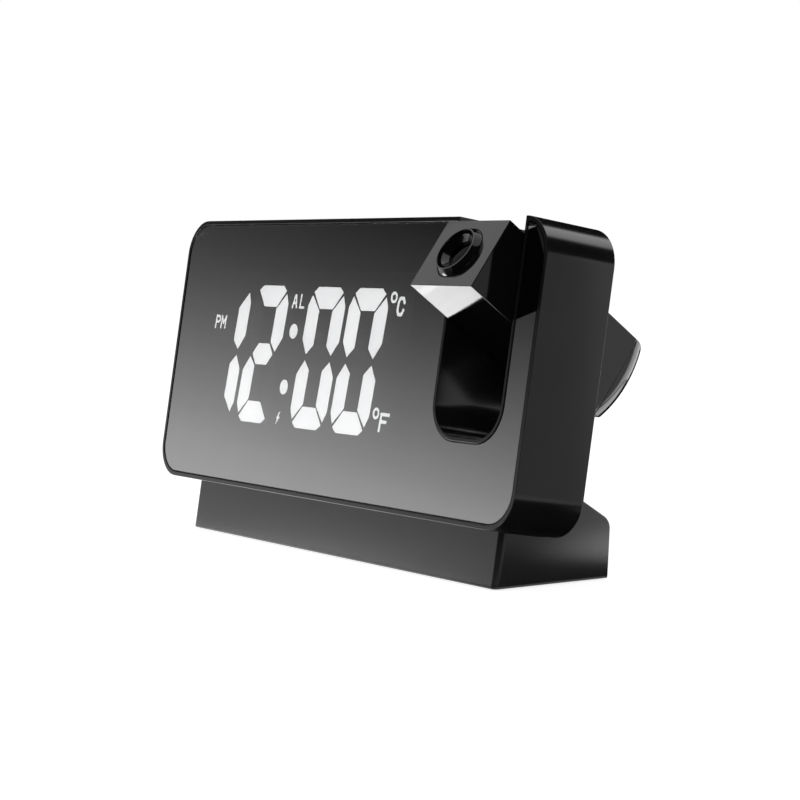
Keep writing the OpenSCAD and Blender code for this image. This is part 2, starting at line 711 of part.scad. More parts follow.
// The door turns about its round lower edge, on a pin whose ends sit in the cover
module battery_door() color("#1a1a1c") leaned() {
    plate(door_y - door_t / 2, door_y + door_t / 2) {
        translate([coin_x - door_w / 2, door_axis_z]) square([door_w, door_h - door_t / 2]);
        translate([coin_x, door_z0 + door_h]) circle(door_tab_r);
    }
    bar_x(door_y, door_axis_z, door_t / 2, coin_x - door_w / 2, coin_x + door_w / 2);
    bar_x(door_y, door_axis_z, door_pin_r, coin_x - door_w / 2 - door_gap - door_pin_l,
        coin_x + door_w / 2 + door_gap + door_pin_l);
}

module rear_key(i) color("#2b2b2e") leaned() {
    bar_y(key_x(i), keys_z, key_r, cover_y - key_hole_gap, case_d + key_out);
    bar_y(key_x(i), keys_z, key_r + key_flange, cover_y - key_hole_gap - key_flange_t,
        cover_y - key_hole_gap);
}

module set_key() rear_key(0);
module up_key() rear_key(1);
module down_key() rear_key(2);
module alarm_key() rear_key(3);
module projection_key() rear_key(4);

module snooze_bar() color("#202022") leaned() {
    translate([snooze_cx, case_d / 2, case_h - case_wall - key_hole_gap])
        pill(snooze_l, snooze_w, case_wall + key_hole_gap + snooze_out);
    translate([snooze_cx, case_d / 2, case_h - case_wall - key_hole_gap - snooze_flange_t])
        pill(snooze_l + 2 * snooze_flange, snooze_w + 2 * snooze_flange, snooze_flange_t);
    bar_z(snooze_cx, snooze_stem_y, snooze_stem_r, board_z1 + plunger_t + key_travel + 0.1,
        case_h - case_wall - key_hole_gap);
}

// ---------------------------------------------------------------- projector arm

// Side view of the arm, [y, z], drawn in by k: the underside slopes down from flare_y to the round end
flare_y = 10.2;
function arm_outline(k) = let(h = arm_t / 2 - k, r = arm_end_r - k, f = arm_edge_r - k,
    g = h + arm_flare,
    c = sqrt((r - f) * (r - f) - (h - f) * (h - f)), a = atan2(h - f, c),
    d = sqrt((r - f) * (r - f) - (g - f) * (g - f)), b = atan2(g - f, d))
    concat([[k - arm_front, -h], [flare_y, -h]],
        [for (i = [0:6]) [d, f - g] + f * [cos(-90 + i * (90 - b) / 6), sin(-90 + i * (90 - b) / 6)]],
        [for (i = [1:11]) r * [cos(-b + i * (a + b) / 12), sin(-b + i * (a + b) / 12)]],
        [for (i = [0:6]) [c, h - f] + f * [cos(a + i * (90 - a) / 6), sin(a + i * (90 - a) / 6)]],
        [[k - arm_front, h]]);

module arm_section(k, half_x) translate([-half_x, 0, 0]) rotate([90, 0, 90])
    linear_extrude(2 * half_x) polygon(arm_outline(k));

// The round end as a body of revolution about the pivot, its rim edges rounded
module round_end(k) rotate([0, 90, 0]) rotate_extrude($fn = 96) {
    square([arm_end_r - arm_edge_r, arm_w / 2 - k]);
    mirror([0, 1]) square([arm_end_r - arm_edge_r, arm_w / 2 - k]);
    square([arm_end_r - k, arm_w / 2 - arm_edge_r]);
    mirror([0, 1]) square([arm_end_r - k, arm_w / 2 - arm_edge_r]);
    for (s = [-1, 1]) translate([arm_end_r - arm_edge_r, s * (arm_w / 2 - arm_edge_r)])
        circle(arm_edge_r - k, $fn = 48);
}

// The arm's outer shape: the side view, with the edges of its rear half rounded
module arm_body() intersection() {
    arm_section(0, arm_w / 2);
    union() {
        round_end(0);
        box([-arm_w, -arm_front - over, -arm_t], [arm_w, arm_edge_r, arm_t]);
    }
}

arm_screw_y = cap_y - 4;
arm_screw_x = 7;
lug_t = 3.4;

module arm_housing() color("#232325") armed() difference() {
    union() {
        intersection() {
            arm_body();
            box([-arm_w, -arm_front - over, -arm_t], [arm_w, cap_y, arm_t]);
        }
        bar_x(0, 0, hub_r, -hub_x, hub_x);
    }
    box([-inner_x, face_y + face_t, -inner_z], [inner_x, cap_y + over, inner_z]);
    bar_y(0, 0, focus_r + run_gap, face_y - over, face_y + face_t + over);
    bar_x(0, 0, sleeve_r + stack_gap, -hub_x - over, -inner_x + over);
    bar_x(0, 0, pin_r + stack_gap, inner_x - over, hub_x + over);
    for (x = [-arm_screw_x, arm_screw_x]) {
        bar_z(x, arm_screw_y, screw_r + 0.2, -arm_t, -inner_z + over);
        bar_z(x, arm_screw_y, screw_head_r + 0.2, -arm_t, -arm_t / 2 + screw_head_h);
    }
}

module arm_cap() color("#232325") armed() difference() {
    union() {
        difference() {
            intersection() {
                arm_body();
                box([-arm_w, cap_y, -arm_t], [arm_w, arm_end_r + over, arm_t]);
            }
            box([-inner_x + 2, cap_y - over, -inner_z + 2], [inner_x - 2, cap_y + 2.5, inner_z - 2]);
        }
        box([-inner_x + seat_gap, cap_y - 7, -inner_z + stack_gap],
            [inner_x - seat_gap, cap_y, -inner_z + lug_t]);
        box([-inner_x + seat_gap, cap_y - 3, inner_z - 1.5],
            [inner_x - seat_gap, cap_y, inner_z - stack_gap]);
    }
    for (x = [-arm_screw_x, arm_screw_x])
        bar_z(x, arm_screw_y, screw_r + screw_gap, -arm_t, -inner_z + lug_t + over);
}

module arm_screws() color("#8e9296") armed() for (x = [-arm_screw_x, arm_screw_x]) {
    bar_z(x, arm_screw_y, screw_head_r, -arm_t / 2 + head_sink, -arm_t / 2 + screw_head_h);
    bar_z(x, arm_screw_y, screw_r, -arm_t / 2 + screw_head_h, -inner_z + lug_t - 0.4);
}

module pivot_sleeve() color("#c9ccd0") armed() difference() {
    union() {
        bar_x(0, 0, sleeve_r, -flange_x - flange_t, -inner_x);
        bar_x(0, 0, sleeve_r + flange_step, -flange_x - flange_t, -flange_x);
    }
    bar_x(0, 0, sleeve_r - 1.2, -flange_x - flange_t - over, -inner_x + over);
}

module pivot_pin() color("#c9ccd0") armed() {
    bar_x(0, 0, pin_r, inner_x, flange_x + flange_t);
    bar_x(0, 0, pin_r + flange_step, flange_x, flange_x + flange_t);
}

module spring_washers() color("#a9adb2") armed() for (s = [[-1, sleeve_r], [1, pin_r]])
    difference() {
        bar_x(0, 0, s[1] + flange_step, s[0] * flange_x - (s[0] > 0 ? washer_t : 0),
            s[0] * flange_x + (s[0] > 0 ? 0 : washer_t));
        bar_x(0, 0, s[1] + stack_gap, -flange_x - over, flange_x + over);
    }

// Ring turned about the lens axis: its profile is [radius, y]
module turned(p) rotate([-90, 0, 0]) rotate_extrude($fn = 96) polygon(p);

module focus_ring() color("#0e0e0f") armed() turned([[cell_r + run_gap, focus_back],
    [focus_r + 0.8, focus_back], [focus_r + 0.8, focus_back - focus_flange_t],
    [focus_r, focus_back - focus_flange_t], [focus_r, face_y - 0.4],
    [focus_rim_r, face_y - focus_out], [cell_r + 0.5, face_y - focus_out],
    [cell_r + run_gap, face_y - focus_out + 0.8]]);

module focus_guide() color("#2a2a2c") armed() difference() {
    union() {
        bar_y(0, 0, inner_z - 0.1, guide_y, guide_y + guide_l);
        box([-inner_x + 0.1, guide_y + guide_l - guide_flange, -inner_z + 0.1],
            [inner_x - 0.1, guide_y + guide_l, inner_z - 0.1]);
    }
    bar_y(0, 0, cell_r + run_gap, guide_y - over, guide_y + guide_l + over);
}

lens_front = cell_front + 1.2;
lens_t = 3;

module lens_cell() color("#0a0a0a") armed() turned([[lens_r + stack_gap, cell_front],
    [cell_r, cell_front], [cell_r, cell_back], [lens_r - 0.9, cell_back],
    [lens_r - 0.9, lens_front + lens_t], [lens_r + stack_gap, lens_front + lens_t]]);

// Lens outline: rim thickness e, front and back faces bulging out by b over radius r
function bulge(r, b, x) = b * (1 - x * x / (r * r));
lens_bulge = 0.6;

module objective_lens() color("#9fb4c8", 0.5) armed() turned(concat(
    [for (i = [0:8]) let(x = lens_r * i / 8) [x, lens_front + lens_bulge - bulge(lens_r, lens_bulge, x)]],
    [for (i = [8:-1:0]) let(x = lens_r * i / 8)
        [x, lens_front + lens_t - lens_bulge - 0.1 + bulge(lens_r, lens_bulge, x)]]));

module lens_retainer() color("#161616") armed() turned([[lens_r - 0.7, cell_front + 0.15],
    [lens_r, cell_front + 0.15], [lens_r, lens_front + lens_bulge - 0.1],
    [lens_r - 0.7, lens_front + lens_bulge - 0.35]]);

module lamp_housing() color("#2a2a2c") armed() difference() {
    union() {
        box([-lamp_s / 2, lamp_y, -lamp_s / 2], [lamp_s / 2, lamp_board_y, lamp_s / 2]);
        box([-inner_x + 0.1, lamp_y + 4, -3], [inner_x - 0.1, lamp_y + 6, 3]);
    }
    bar_y(0, 0, cond_r - 1, lamp_y - over, lamp_board_y + over);
    bar_y(0, 0, cond_r + stack_gap, lamp_board_y - cond_t - 3, lamp_board_y + over);
    box([-mask_s / 2 - stack_gap, lamp_y - over, -mask_s / 2 - stack_gap],
        [mask_s / 2 + stack_gap, lamp_y + mask_t + stack_gap, mask_s / 2 + stack_gap]);
}

module lcd_mask() color("#20303a", 0.8) armed()
    box([-mask_s / 2, lamp_y, -mask_s / 2], [mask_s / 2, lamp_y + mask_t, mask_s / 2]);

module condenser_lens() color("#9fb4c8", 0.5) armed() let(y0 = lamp_board_y - cond_t - 3)
    turned(concat([[0, y0 + cond_t]], [[cond_r, y0 + cond_t], [cond_r, y0 + 1.5]],
        [for (i = [8:-1:0]) let(x = cond_r * i / 8) [x, y0 + 1.5 - bulge(cond_r, 1.4, x)]]));

module lamp_board() color("#e6e6e0") armed() box([-lamp_board_w / 2, lamp_board_y, -lamp_s / 2],
    [lamp_board_w / 2, lamp_board_y + board_t, lamp_s / 2]);

module lamp_led() color("#f4ecb0") armed() box([-led_s / 2, lamp_board_y - led_t, -led_s / 2],
    [led_s / 2, lamp_board_y, led_s / 2]);

module heat_sink() color("#9aa0a6") armed() {
    y0 = lamp_board_y + board_t;
    box([-sink_s / 2, y0, -sink_s / 2], [sink_s / 2, y0 + sink_base, sink_s / 2]);
    for (i = [0:fins - 1]) let(x = -sink_s / 2 + i * (sink_s - fin_t) / (fins - 1))
        box([x, y0 + sink_base, -sink_s / 2], [x + fin_t, y0 + sink_base + fin_l, sink_s / 2]);
}

// The lead runs out of the case along the pivot, then turns to the lamp board
module projector_lead() color("#303030") armed() {
    bar_x(0, 0, lead_r, lead_start, lead_x);
    translate([lead_x, 0, 0]) sphere(lead_r, $fn = 48);
    bar_y(lead_x, 0, lead_r, lamp_board_y + board_t + stack_gap, 0);
}

// ---------------------------------------------------------------- base

module along_x(half_x) translate([-half_x, 0, 0]) rotate([90, 0, 90])
    linear_extrude(2 * half_x) children();

// The outline of the base with its upper back corner rounded, or that of its hollow when k is
// the wall
function base_shape(p, k) = let(q = inset_outline(p, k), n = len(q))
    concat([for (i = [0:n - 3]) q[i]], round_corner(q[n - 3], q[n - 2], q[n - 1], base_round - k, 8),
        [q[n - 1]]);
BASE_HOLLOW = concat([2 * BASE_OUTLINE[0] - BASE_OUTLINE[1]], [for (i = [1:4]) BASE_OUTLINE[i]],
    [2 * BASE_OUTLINE[5] - BASE_OUTLINE[4]]);

module base_solid() intersection() {
    along_x(base_w / 2) polygon(base_shape(BASE_OUTLINE, 0));
    leaned() translate([0, 0, -base_w / 2]) linear_extrude(base_w)
        round_rect(-base_w / 2, base_front_v, base_w / 2, base_front_v + 2 * base_d, base_edge_r);
}

module base_housing() color("#242426") difference() {
    union() {
        difference() {
            base_solid();
            along_x(base_w / 2 - base_wall) polygon(base_shape(BASE_HOLLOW, base_wall));
        }
        intersection() {
            base_solid();
            for (x = [-base_screw_x, base_screw_x], y = [-base_screw_y, base_screw_y])
                bar_z(x, y, boss_r, pad_out + plate_t, base_top[1]);
        }
    }
    for (x = [-base_screw_x, base_screw_x], y = [-base_screw_y, base_screw_y])
        bar_z(x, y, screw_r + screw_gap, 0, pad_out + plate_t + cover_screw_l);
    leaned() for (x = [-cradle_x, cradle_x])
        bar_z(x, cradle_v, screw_r + 0.2, -base_wall - over, over);
}

module base_plate() color("#1a1a1c") difference() {
    box([seat_gap + base_wall - base_w / 2, base_front + base_wall + plate_gap, pad_out],
        [base_w / 2 - base_wall - seat_gap, base_d / 2 - base_wall - plate_gap, pad_out + plate_t]);
    translate([-pad_w / 2 - seat_gap, -pad_d / 2 - seat_gap, 0])
        cube([pad_w + 2 * seat_gap, pad_d + 2 * seat_gap, pad_t]);
    for (x = [-base_screw_x, base_screw_x], y = [-base_screw_y, base_screw_y]) {
        bar_z(x, y, screw_r + 0.25, 0, pad_out + plate_t + over);
        bar_z(x, y, screw_head_r + 0.2, 0, pad_out + head_sink + screw_head_h);
    }
}

module ballast_bar() color("#6f7276") box([-ballast_w / 2, -ballast_d / 2, pad_out + plate_t],
    [ballast_w / 2, ballast_d / 2, pad_out + plate_t + ballast_h]);

module base_screws() color("#8e9296")
    for (x = [-base_screw_x, base_screw_x], y = [-base_screw_y, base_screw_y]) {
        bar_z(x, y, screw_head_r, pad_out + head_sink, pad_out + head_sink + screw_head_h);
        bar_z(x, y, screw_r, pad_out + head_sink + screw_head_h, pad_out + plate_t + cover_screw_l - 1);
    }

module cradle_screws() color("#8e9296") leaned() for (x = [-cradle_x, cradle_x]) {
    bar_z(x, cradle_v, screw_head_r, -base_wall - screw_head_h, -base_wall);
    bar_z(x, cradle_v, screw_r, -base_wall, cradle_screw_l);
}

module non_slip_pad() color("#303030")
    box([-pad_w / 2, -pad_d / 2, 0], [pad_w / 2, pad_d / 2, pad_t]);

case_shell();
mirror_panel();
segment_block();
lit_segments();
unlit_segments();
symbol_lights();
display_leds();
display_board();
board_spacers();
main_board();
board_chips();
board_link();
board_screws();
key_switches();
snooze_switch();
cell_holder();
coin_cell();
buzzer();
temperature_sensor();
port_board();
charging_socket();
power_socket();
lead_plug();
rear_cover();
cover_screws();
battery_door();
set_key();
up_key();
down_key();
alarm_key();
projection_key();
snooze_bar();
arm_housing();
arm_cap();
arm_screws();
pivot_sleeve();
pivot_pin();
spring_washers();
focus_ring();
focus_guide();
lens_cell();
objective_lens();
lens_retainer();
lamp_housing();
lcd_mask();
condenser_lens();
lamp_board();
lamp_led();
heat_sink();
projector_lead();
base_housing();
base_plate();
ballast_bar();
base_screws();
cradle_screws();
non_slip_pad();
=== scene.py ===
# %% [markdown]
# # A projection alarm clock, finished in Blender
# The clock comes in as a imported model: every part already has its true size and its place, in metres,
# standing on z = 0. So nothing is fitted or scaled here. The lesson is about what is left: where the
# camera stands, how a black, half-mirrored object is lit, and what each surface is really made of.

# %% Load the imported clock
import math
import bpy
import numpy as np
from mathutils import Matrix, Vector


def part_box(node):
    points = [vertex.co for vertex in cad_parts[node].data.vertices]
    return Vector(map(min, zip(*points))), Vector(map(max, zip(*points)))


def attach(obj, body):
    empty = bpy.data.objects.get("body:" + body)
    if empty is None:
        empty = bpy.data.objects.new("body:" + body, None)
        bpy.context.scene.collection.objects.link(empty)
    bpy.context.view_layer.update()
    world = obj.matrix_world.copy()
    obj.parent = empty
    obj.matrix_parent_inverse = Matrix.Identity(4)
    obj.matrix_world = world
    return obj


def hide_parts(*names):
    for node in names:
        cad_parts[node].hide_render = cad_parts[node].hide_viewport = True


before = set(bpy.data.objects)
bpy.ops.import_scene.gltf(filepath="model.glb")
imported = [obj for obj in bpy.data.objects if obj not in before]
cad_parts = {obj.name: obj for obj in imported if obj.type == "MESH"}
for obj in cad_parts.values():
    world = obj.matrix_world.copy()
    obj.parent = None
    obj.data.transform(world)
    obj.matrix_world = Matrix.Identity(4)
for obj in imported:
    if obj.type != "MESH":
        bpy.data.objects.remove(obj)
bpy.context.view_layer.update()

scene = bpy.context.scene
mm = 0.001

# %% [markdown]
# ## Colours and nodes
# Paint charts and screens give colours as sRGB hex values, but light adds up in linear values, so one
# function does that step. A second one adds a shader node with its settings and links, which keeps the
# recipe of a finish readable from its first line to its last.

# %% Two small helpers
def linear(code):
    """A hex colour as linear red, green, blue, alpha: c/12.92 for dark values, else ((c+0.055)/1.055)^2.4."""
    c = np.array([int(code[i:i + 2], 16) for i in (1, 3, 5)]) / 255
    return (*np.where(c <= 0.04045, c / 12.92, ((c + 0.055) / 1.055) ** 2.4), 1.0)


def add(tree, kind, stops=(), **settings):
    """Adds one node. A keyword is a property of the node, or an input with _ for each space (in0, in1 by place).
    A number, colour or hex code sets it, a socket or a node's first output is linked to it."""
    made = tree.nodes.new("ShaderNode" + kind)
    if stops:  # a ramp is born with two stops: one goes, the other becomes the first of ours
        ramp = made.color_ramp.elements
        ramp.remove(ramp[1])
        ramp[0].position, ramp[0].color = stops[0][0], linear(stops[0][1])
        for place, code in stops[1:]:
            ramp.new(place).color = linear(code)
    for name, value in settings.items():
        if isinstance(value, bpy.types.Node):
            value = value.outputs[0]
        if hasattr(made, name):
            setattr(made, name, value)
            continue
        socket = made.inputs[int(name[2:])] if name[:2] == "in" else made.inputs[name.replace("_", " ")]
        if isinstance(value, bpy.types.NodeSocket):
            tree.links.new(value, socket)
        else:
            socket.default_value = linear(value) if isinstance(value, str) else value
    return made


def blank(name):
    """A new material with an empty node tree, and where a point of the piece is, in millimetres."""
    material = bpy.data.materials.new(name)
    material.use_nodes = True
    material.node_tree.nodes.clear()
    tree = material.node_tree
    where = add(tree, "VectorMath", operation="SCALE", Scale=1000.0, in0=add(tree, "TexCoord").outputs["Object"])
    return material, tree, where


print("half grey #808080 is", round(float(linear("#808080")[0]), 3), "in linear light")

# %% [markdown]
# ## The camera
# A long lens from the front right and just above the top of the clock shows the display, the projector
# arm in its slot and one side. A short lens from nearer would swell the near corner, so it isn't used.

# %% Camera
frame_width, focal_length, sensor_width = 800, 2231.79, 36  # in pixels, in pixels and in millimetres
looks_down, looks_left = 3.955, 55.681  # in degrees, from level and from straight back
camera = bpy.data.objects.new("camera", bpy.data.cameras.new("camera"))
scene.collection.objects.link(camera)
camera.location = (0.53454, -0.35890, 0.08858)
camera.rotation_euler = (math.radians(90 - looks_down), 0, math.radians(looks_left))
camera.data.sensor_width = sensor_width
camera.data.lens = sensor_width * focal_length / frame_width
camera.data.clip_start, camera.data.clip_end = 0.02, 30
scene.camera = camera
print("lens:", round(camera.data.lens, 1), "mm")

# %% [markdown]
# ## The studio
# A black, glossy thing is lit by what it mirrors. The clock stands on a white table in a white room. Round
# them go a wall with a soft gradient, which is what the display panel shows, black cloth, which keeps the
# clock's outline dark, and some cards. All of these are there for mirror rays only, so they neither dim the
# light nor show in the picture.

# %% White room
scene.view_settings.view_transform = "Standard"
world = bpy.data.worlds.new("white_room")
scene.world = world
world.use_nodes = True
tree = world.node_tree
tree.nodes.clear()
rays = add(tree, "LightPath")


def seen_directly(tree, rays):
    """1 for a ray from the camera, off a mirror or through glass, 0 for the light that falls on things."""
    two = add(tree, "Math", operation="MAXIMUM",
              in0=rays.outputs["Is Camera Ray"], in1=rays.outputs["Is Glossy Ray"])
    return add(tree, "Math", operation="MAXIMUM", in0=two, in1=rays.outputs["Is Transmission Ray"])


lit = add(tree, "Background", Color="#ffffff", Strength=0.55)
shown = add(tree, "Background", Color="#ffffff", Strength=1.0)
add(tree, "OutputWorld", Surface=add(tree, "MixShader", in0=seen_directly(tree, rays), in1=lit, in2=shown))
print("the room lights at", round(lit.inputs["Strength"].default_value, 2), "and shows at 1")

# %% [markdown]
# Every new piece is a mesh worked out as an array of points, so two more helpers come here: one makes the
# object, the other the squares between the points of a grid. The table is the first use of both.

# %% Mesh helpers and the white table
def surface(name, points, faces, material, smooth=True):
    """A mesh object with its place in its mesh: points in millimetres, faces as rows of point numbers, which are
    an array, or a list when the faces have different numbers of corners."""
    mesh = bpy.data.meshes.new(name)
    mesh.from_pydata((points * mm).tolist(), [], faces if isinstance(faces, list) else faces.tolist())
    mesh.polygons.foreach_set("use_smooth", np.full(len(mesh.polygons), smooth))
    mesh.materials.append(material)
    made = bpy.data.objects.new(name, mesh)
    scene.collection.objects.link(made)
    return made


def grid_faces(rows, columns):
    """The squares between neighbouring points of a rows x columns grid, as four point numbers each."""
    a = (np.arange(rows - 1)[:, None] * columns + np.arange(columns - 1)).reshape(-1)
    return np.stack([a, a + 1, a + columns + 1, a + columns], 1)


table_white, tree, _ = blank("painted white table")
rays = add(tree, "LightPath")
paint = add(tree, "BsdfDiffuse", Color="#e6e6e6")
shade = add(tree, "BsdfDiffuse", Color="#a8a8a8")
glow = add(tree, "Emission", Color="#ffffff", Strength=0.82)
soft = add(tree, "AddShader", in0=shade, in1=glow)
add(tree, "OutputMaterial", Surface=add(tree, "MixShader", in0=seen_directly(tree, rays), in1=paint, in2=soft))
table_reach = 8000.0
u, v = np.meshgrid(np.linspace(-table_reach, table_reach, 9), np.linspace(-table_reach, table_reach, 9))
floor = surface("table", np.stack([u, v, 0 * u], -1).reshape(-1, 3), grid_faces(9, 9), table_white)
print("table:", 2 * table_reach * mm, "m wide,", len(floor.data.polygons), "squares")

# %% [markdown]
# Two square lamps, a stronger one high on the left and a weaker one on the right, join the room's light.
# Together they light a surface that faces them at about the level of a white page, so colours come out as
# written. Neither shows in a mirror.

# %% Lamps
lamp_side = 0.8
aim = Vector((0, 0, 0.05))  # the middle of the clock
for name, place, watts in (("key_lamp", (-0.9, -1.0, 1.5), 14), ("fill_lamp", (1.6, -0.5, 0.9), 10)):
    lamp = bpy.data.objects.new(name, bpy.data.lights.new(name, "AREA"))
    lamp.data.shape, lamp.data.size, lamp.data.energy = "SQUARE", lamp_side, watts
    lamp.location = place
    lamp.rotation_euler = (aim - Vector(place)).to_track_quat("-Z", "Y").to_euler()
    lamp.visible_glossy = False
    scene.collection.objects.link(lamp)
    print(name, watts, "W,", round((aim - Vector(place)).length, 2), "m from the clock")

# %% [markdown]
# The gradient wall and the black cloths are round screens about the clock: the wall 3 m away in front, one
# cloth 1.5 m behind, and a small one near the clock at the front right, which keeps the focus ring black. The
# wall's brightness is a formula of the height and of the direction, so its soft edge costs nothing.

# %% A round screen
def for_mirrors(piece):
    """Only mirror rays see this piece, and it is stage."""
    piece.visible_camera = piece.visible_diffuse = piece.visible_shadow = False
    piece.visible_transmission = piece.visible_volume_scatter = False


def round_screen(name, radius, turn, height, columns, rows, material):
    """Part of a cylinder round the clock: radius * (sin a, -cos a), where the angle a, in degrees from the
    front, goes from the turn's first value to its last, and z from the table to the height, in millimetres."""
    a, up = np.meshgrid(np.radians(np.linspace(*turn, columns)), np.linspace(0, height, rows), indexing="ij")
    points = np.stack([radius * np.sin(a), -radius * np.cos(a), up], -1).reshape(-1, 3)
    for_mirrors(surface(name, points, grid_faces(columns, rows), material))
    print(name, radius, "mm away and", height, "mm high")


# %% Gradient wall
wall_height = 1200.0
dim_part = 0.88  # the level of the stretch from straight in front to 48 degrees left, against the rest
gradient_wall, tree, where = blank("gradient paper")
parts = add(tree, "SeparateXYZ", Vector=where)
height = add(tree, "MapRange", Value=parts.outputs["Z"], From_Min=0.0, From_Max=wall_height)
levels = add(tree, "ValToRGB", Fac=height, stops=(
    (0.00, "#ffffff"), (0.105, "#ffffff"), (0.165, "#efefef"), (0.203, "#e3e3e3"), (0.24, "#cfcfcf"),
    (0.283, "#bababa"), (0.327, "#a4a4a4"), (0.371, "#8e8e8e"), (0.415, "#787878"), (0.458, "#656565"),
    (0.491, "#585858"), (0.58, "#343434"), (0.68, "#161616"), (0.90, "#000000")))
turn = add(tree, "Math", operation="ARCTAN2", in0=parts.outputs["X"], in1=parts.outputs["Y"])
side = add(tree, "MapRange", interpolation_type="SMOOTHSTEP", Value=turn,
           From_Min=math.radians(-132), From_Max=math.radians(-119), To_Min=dim_part, To_Max=1.0)
add(tree, "OutputMaterial", Surface=add(tree, "Emission", Color=levels.outputs["Color"], Strength=side))
round_screen("gradient_wall", 3000, (-100, 100), wall_height, 61, 13, gradient_wall)

# %% Black cloths
black_cloth, tree, _ = blank("black cloth")
add(tree, "OutputMaterial", Surface=add(tree, "Emission", Color="#0d0d0d", Strength=1.0))
round_screen("black_cloth", 1500, (80, 280), 1800, 61, 13, black_cloth)
round_screen("front_screen", 400, (-25, 82), 750, 31, 9, black_cloth)

# %% [markdown]
# The rest of the set is flat cards, as in a studio for small goods. Light ones draw the soft lines along
# rounded edges and light up what faces down, black ones keep a corner or a flank dark. The light of a card is
# even round its middle and fades further out, and the card's own edge cuts it off where a mirrored line has
# to be sharp.

# %% A card
def glowing(name, level, middle, reach):
    """Light of one level round a middle: level * smoothstep of the distance, all of it up to 0.55 and none from 1
    on, where each axis of the distance, in millimetres, is first divided by its own reach."""
    material, tree, where = blank(name)
    off = add(tree, "VectorMath", operation="SUBTRACT", in0=where, in1=middle)
    part = add(tree, "VectorMath", operation="DIVIDE", in0=off, in1=reach)
    far = add(tree, "VectorMath", operation="LENGTH", in0=part)
    fade = add(tree, "MapRange", interpolation_type="SMOOTHSTEP", Value=far.outputs["Value"],
               From_Min=0.55, From_Max=1.0, To_Min=1.0, To_Max=0.0)
    light = add(tree, "Emission", Color="#ffffff", Strength=level)
    mixed = add(tree, "MixShader", in0=fade, in1=add(tree, "BsdfTransparent", Color="#ffffff"), in2=light)
    add(tree, "OutputMaterial", Surface=mixed)
    return material


def card(name, corner, across, up, material):
    """A flat stage card: corner + s * across + t * up for s and t from 0 to 1, in millimetres."""
    s, t = np.meshgrid(np.linspace(0, 1, 9), np.linspace(0, 1, 9), indexing="ij")
    points = np.array(corner) + s[..., None] * np.array(across) + t[..., None] * np.array(up)
    for_mirrors(surface(name, points.reshape(-1, 3), grid_faces(9, 9), material))


# %% Cards round the clock
cards = (  # name, level, the middle and the reach of the light, then the card's corner and its two sides
    # on the table at the front left: lights the underside of the arm and its lens face
    ("bright sheet", 9.0, (-72, -72, 1), (62, 38, 30), (-134, -110, 1), (124, 0, 0), (0, 76, 0)),
    # high up behind: the soft line along the rounded top edge
    ("strip light", 2.2, (160, 700, 800), (330, 400, 400), (-170, 640, 1050), (660, 0, 0), (0, 120, -600)),
    # a narrow sheet along the foot: the fine light line under the panel
    ("edge sheet", 5.0, (-30, -31, 1), (170, 13, 30), (-190, -44, 1), (330, 0, 0), (0, 26, 0)),
    # standing at the right, from front to back: the even side of the case, the flank of the arm's end and the
    # bright band where that end turns away
    ("grey board", 0.40, (200, 110, 40), (260, 260, 260), (260, -60, 0), (-120, 300, 0), (0, 0, 110)),
    ("pale board", 0.8, (167, 163, 40), (260, 260, 260), (197, 88, 0), (-12, 30, 0), (0, 0, 110)),
    ("bright board", 3.5, (150, 205, 50), (1000, 92, 400), (185, 118, 0), (-47, 120, 0), (0, 0, 110)),
    # on the table at the right: black for the case's lower edge, grey for the end of the base
    ("black board", 0.0, (110, 0, 1), (110, 200, 30), (60, -100, 1), (88, 0, 0), (0, 160, 0)),
    ("dim paper", 0.6, (230, 90, 0.5), (160, 260, 30), (148, -100, 0.5), (152, 0, 0), (0, 360, 0)),
    # on the table in front: keeps the front of the base dark
    ("front paper", 0.1, (80, -110, 0.5), (220, 90, 30), (-150, -185, 0.5), (380, 0, 0), (0, 150, 0)),
    # lying and standing behind the arm: the rest of the bright band on its end
    ("back sheet", 3.5, (112, 110, 1), (45, 95, 30), (67, 15, 1.5), (90, 0, 0), (0, 185, 0)),
    ("back board", 3.5, (105, 200, 60), (70, 40, 400), (35, 200, 0), (140, 0, 0), (0, 0, 150)),
    # lying and standing behind the case: the dark line outside that band
    ("black paper", 0.0, (-120, 150, 1), (400, 300, 30), (-300, 60, 1), (362, 0, 0), (0, 165, 0)),
    ("black screen", 0.0, (-220, 225, 60), (600, 200, 600), (-500, 230, 0), (545, -10, 0), (0, 0, 160)),
    # on the table at the front right: black for the lower half of the ring
    ("front mat", 0.0, (190, -220, 1), (400, 400, 30), (40, -330, 1), (300, 0, 0), (0, 220, 0)))
for name, level, middle, reach, corner, across, up in cards:
    card(name.replace(" ", "_"), corner, across, up, glowing(name, level, middle, reach))
print("cards:", len(cards), "of them black:", sum(level == 0 for _, level, *_ in cards))

# %% [markdown]
# ## What the clock is made of
# Most of it is moulded ABS. A moulded part repeats the steel of its mould: polished steel gives gloss,
# spark-eroded steel a fine even grain, and thick places sink a little as they cool, which bends the
# mirror image in slow waves. Those three are worth drawing: a slow colour drift, the grain as a bump and
# in the roughness, and the waves as a second, much wider bump.

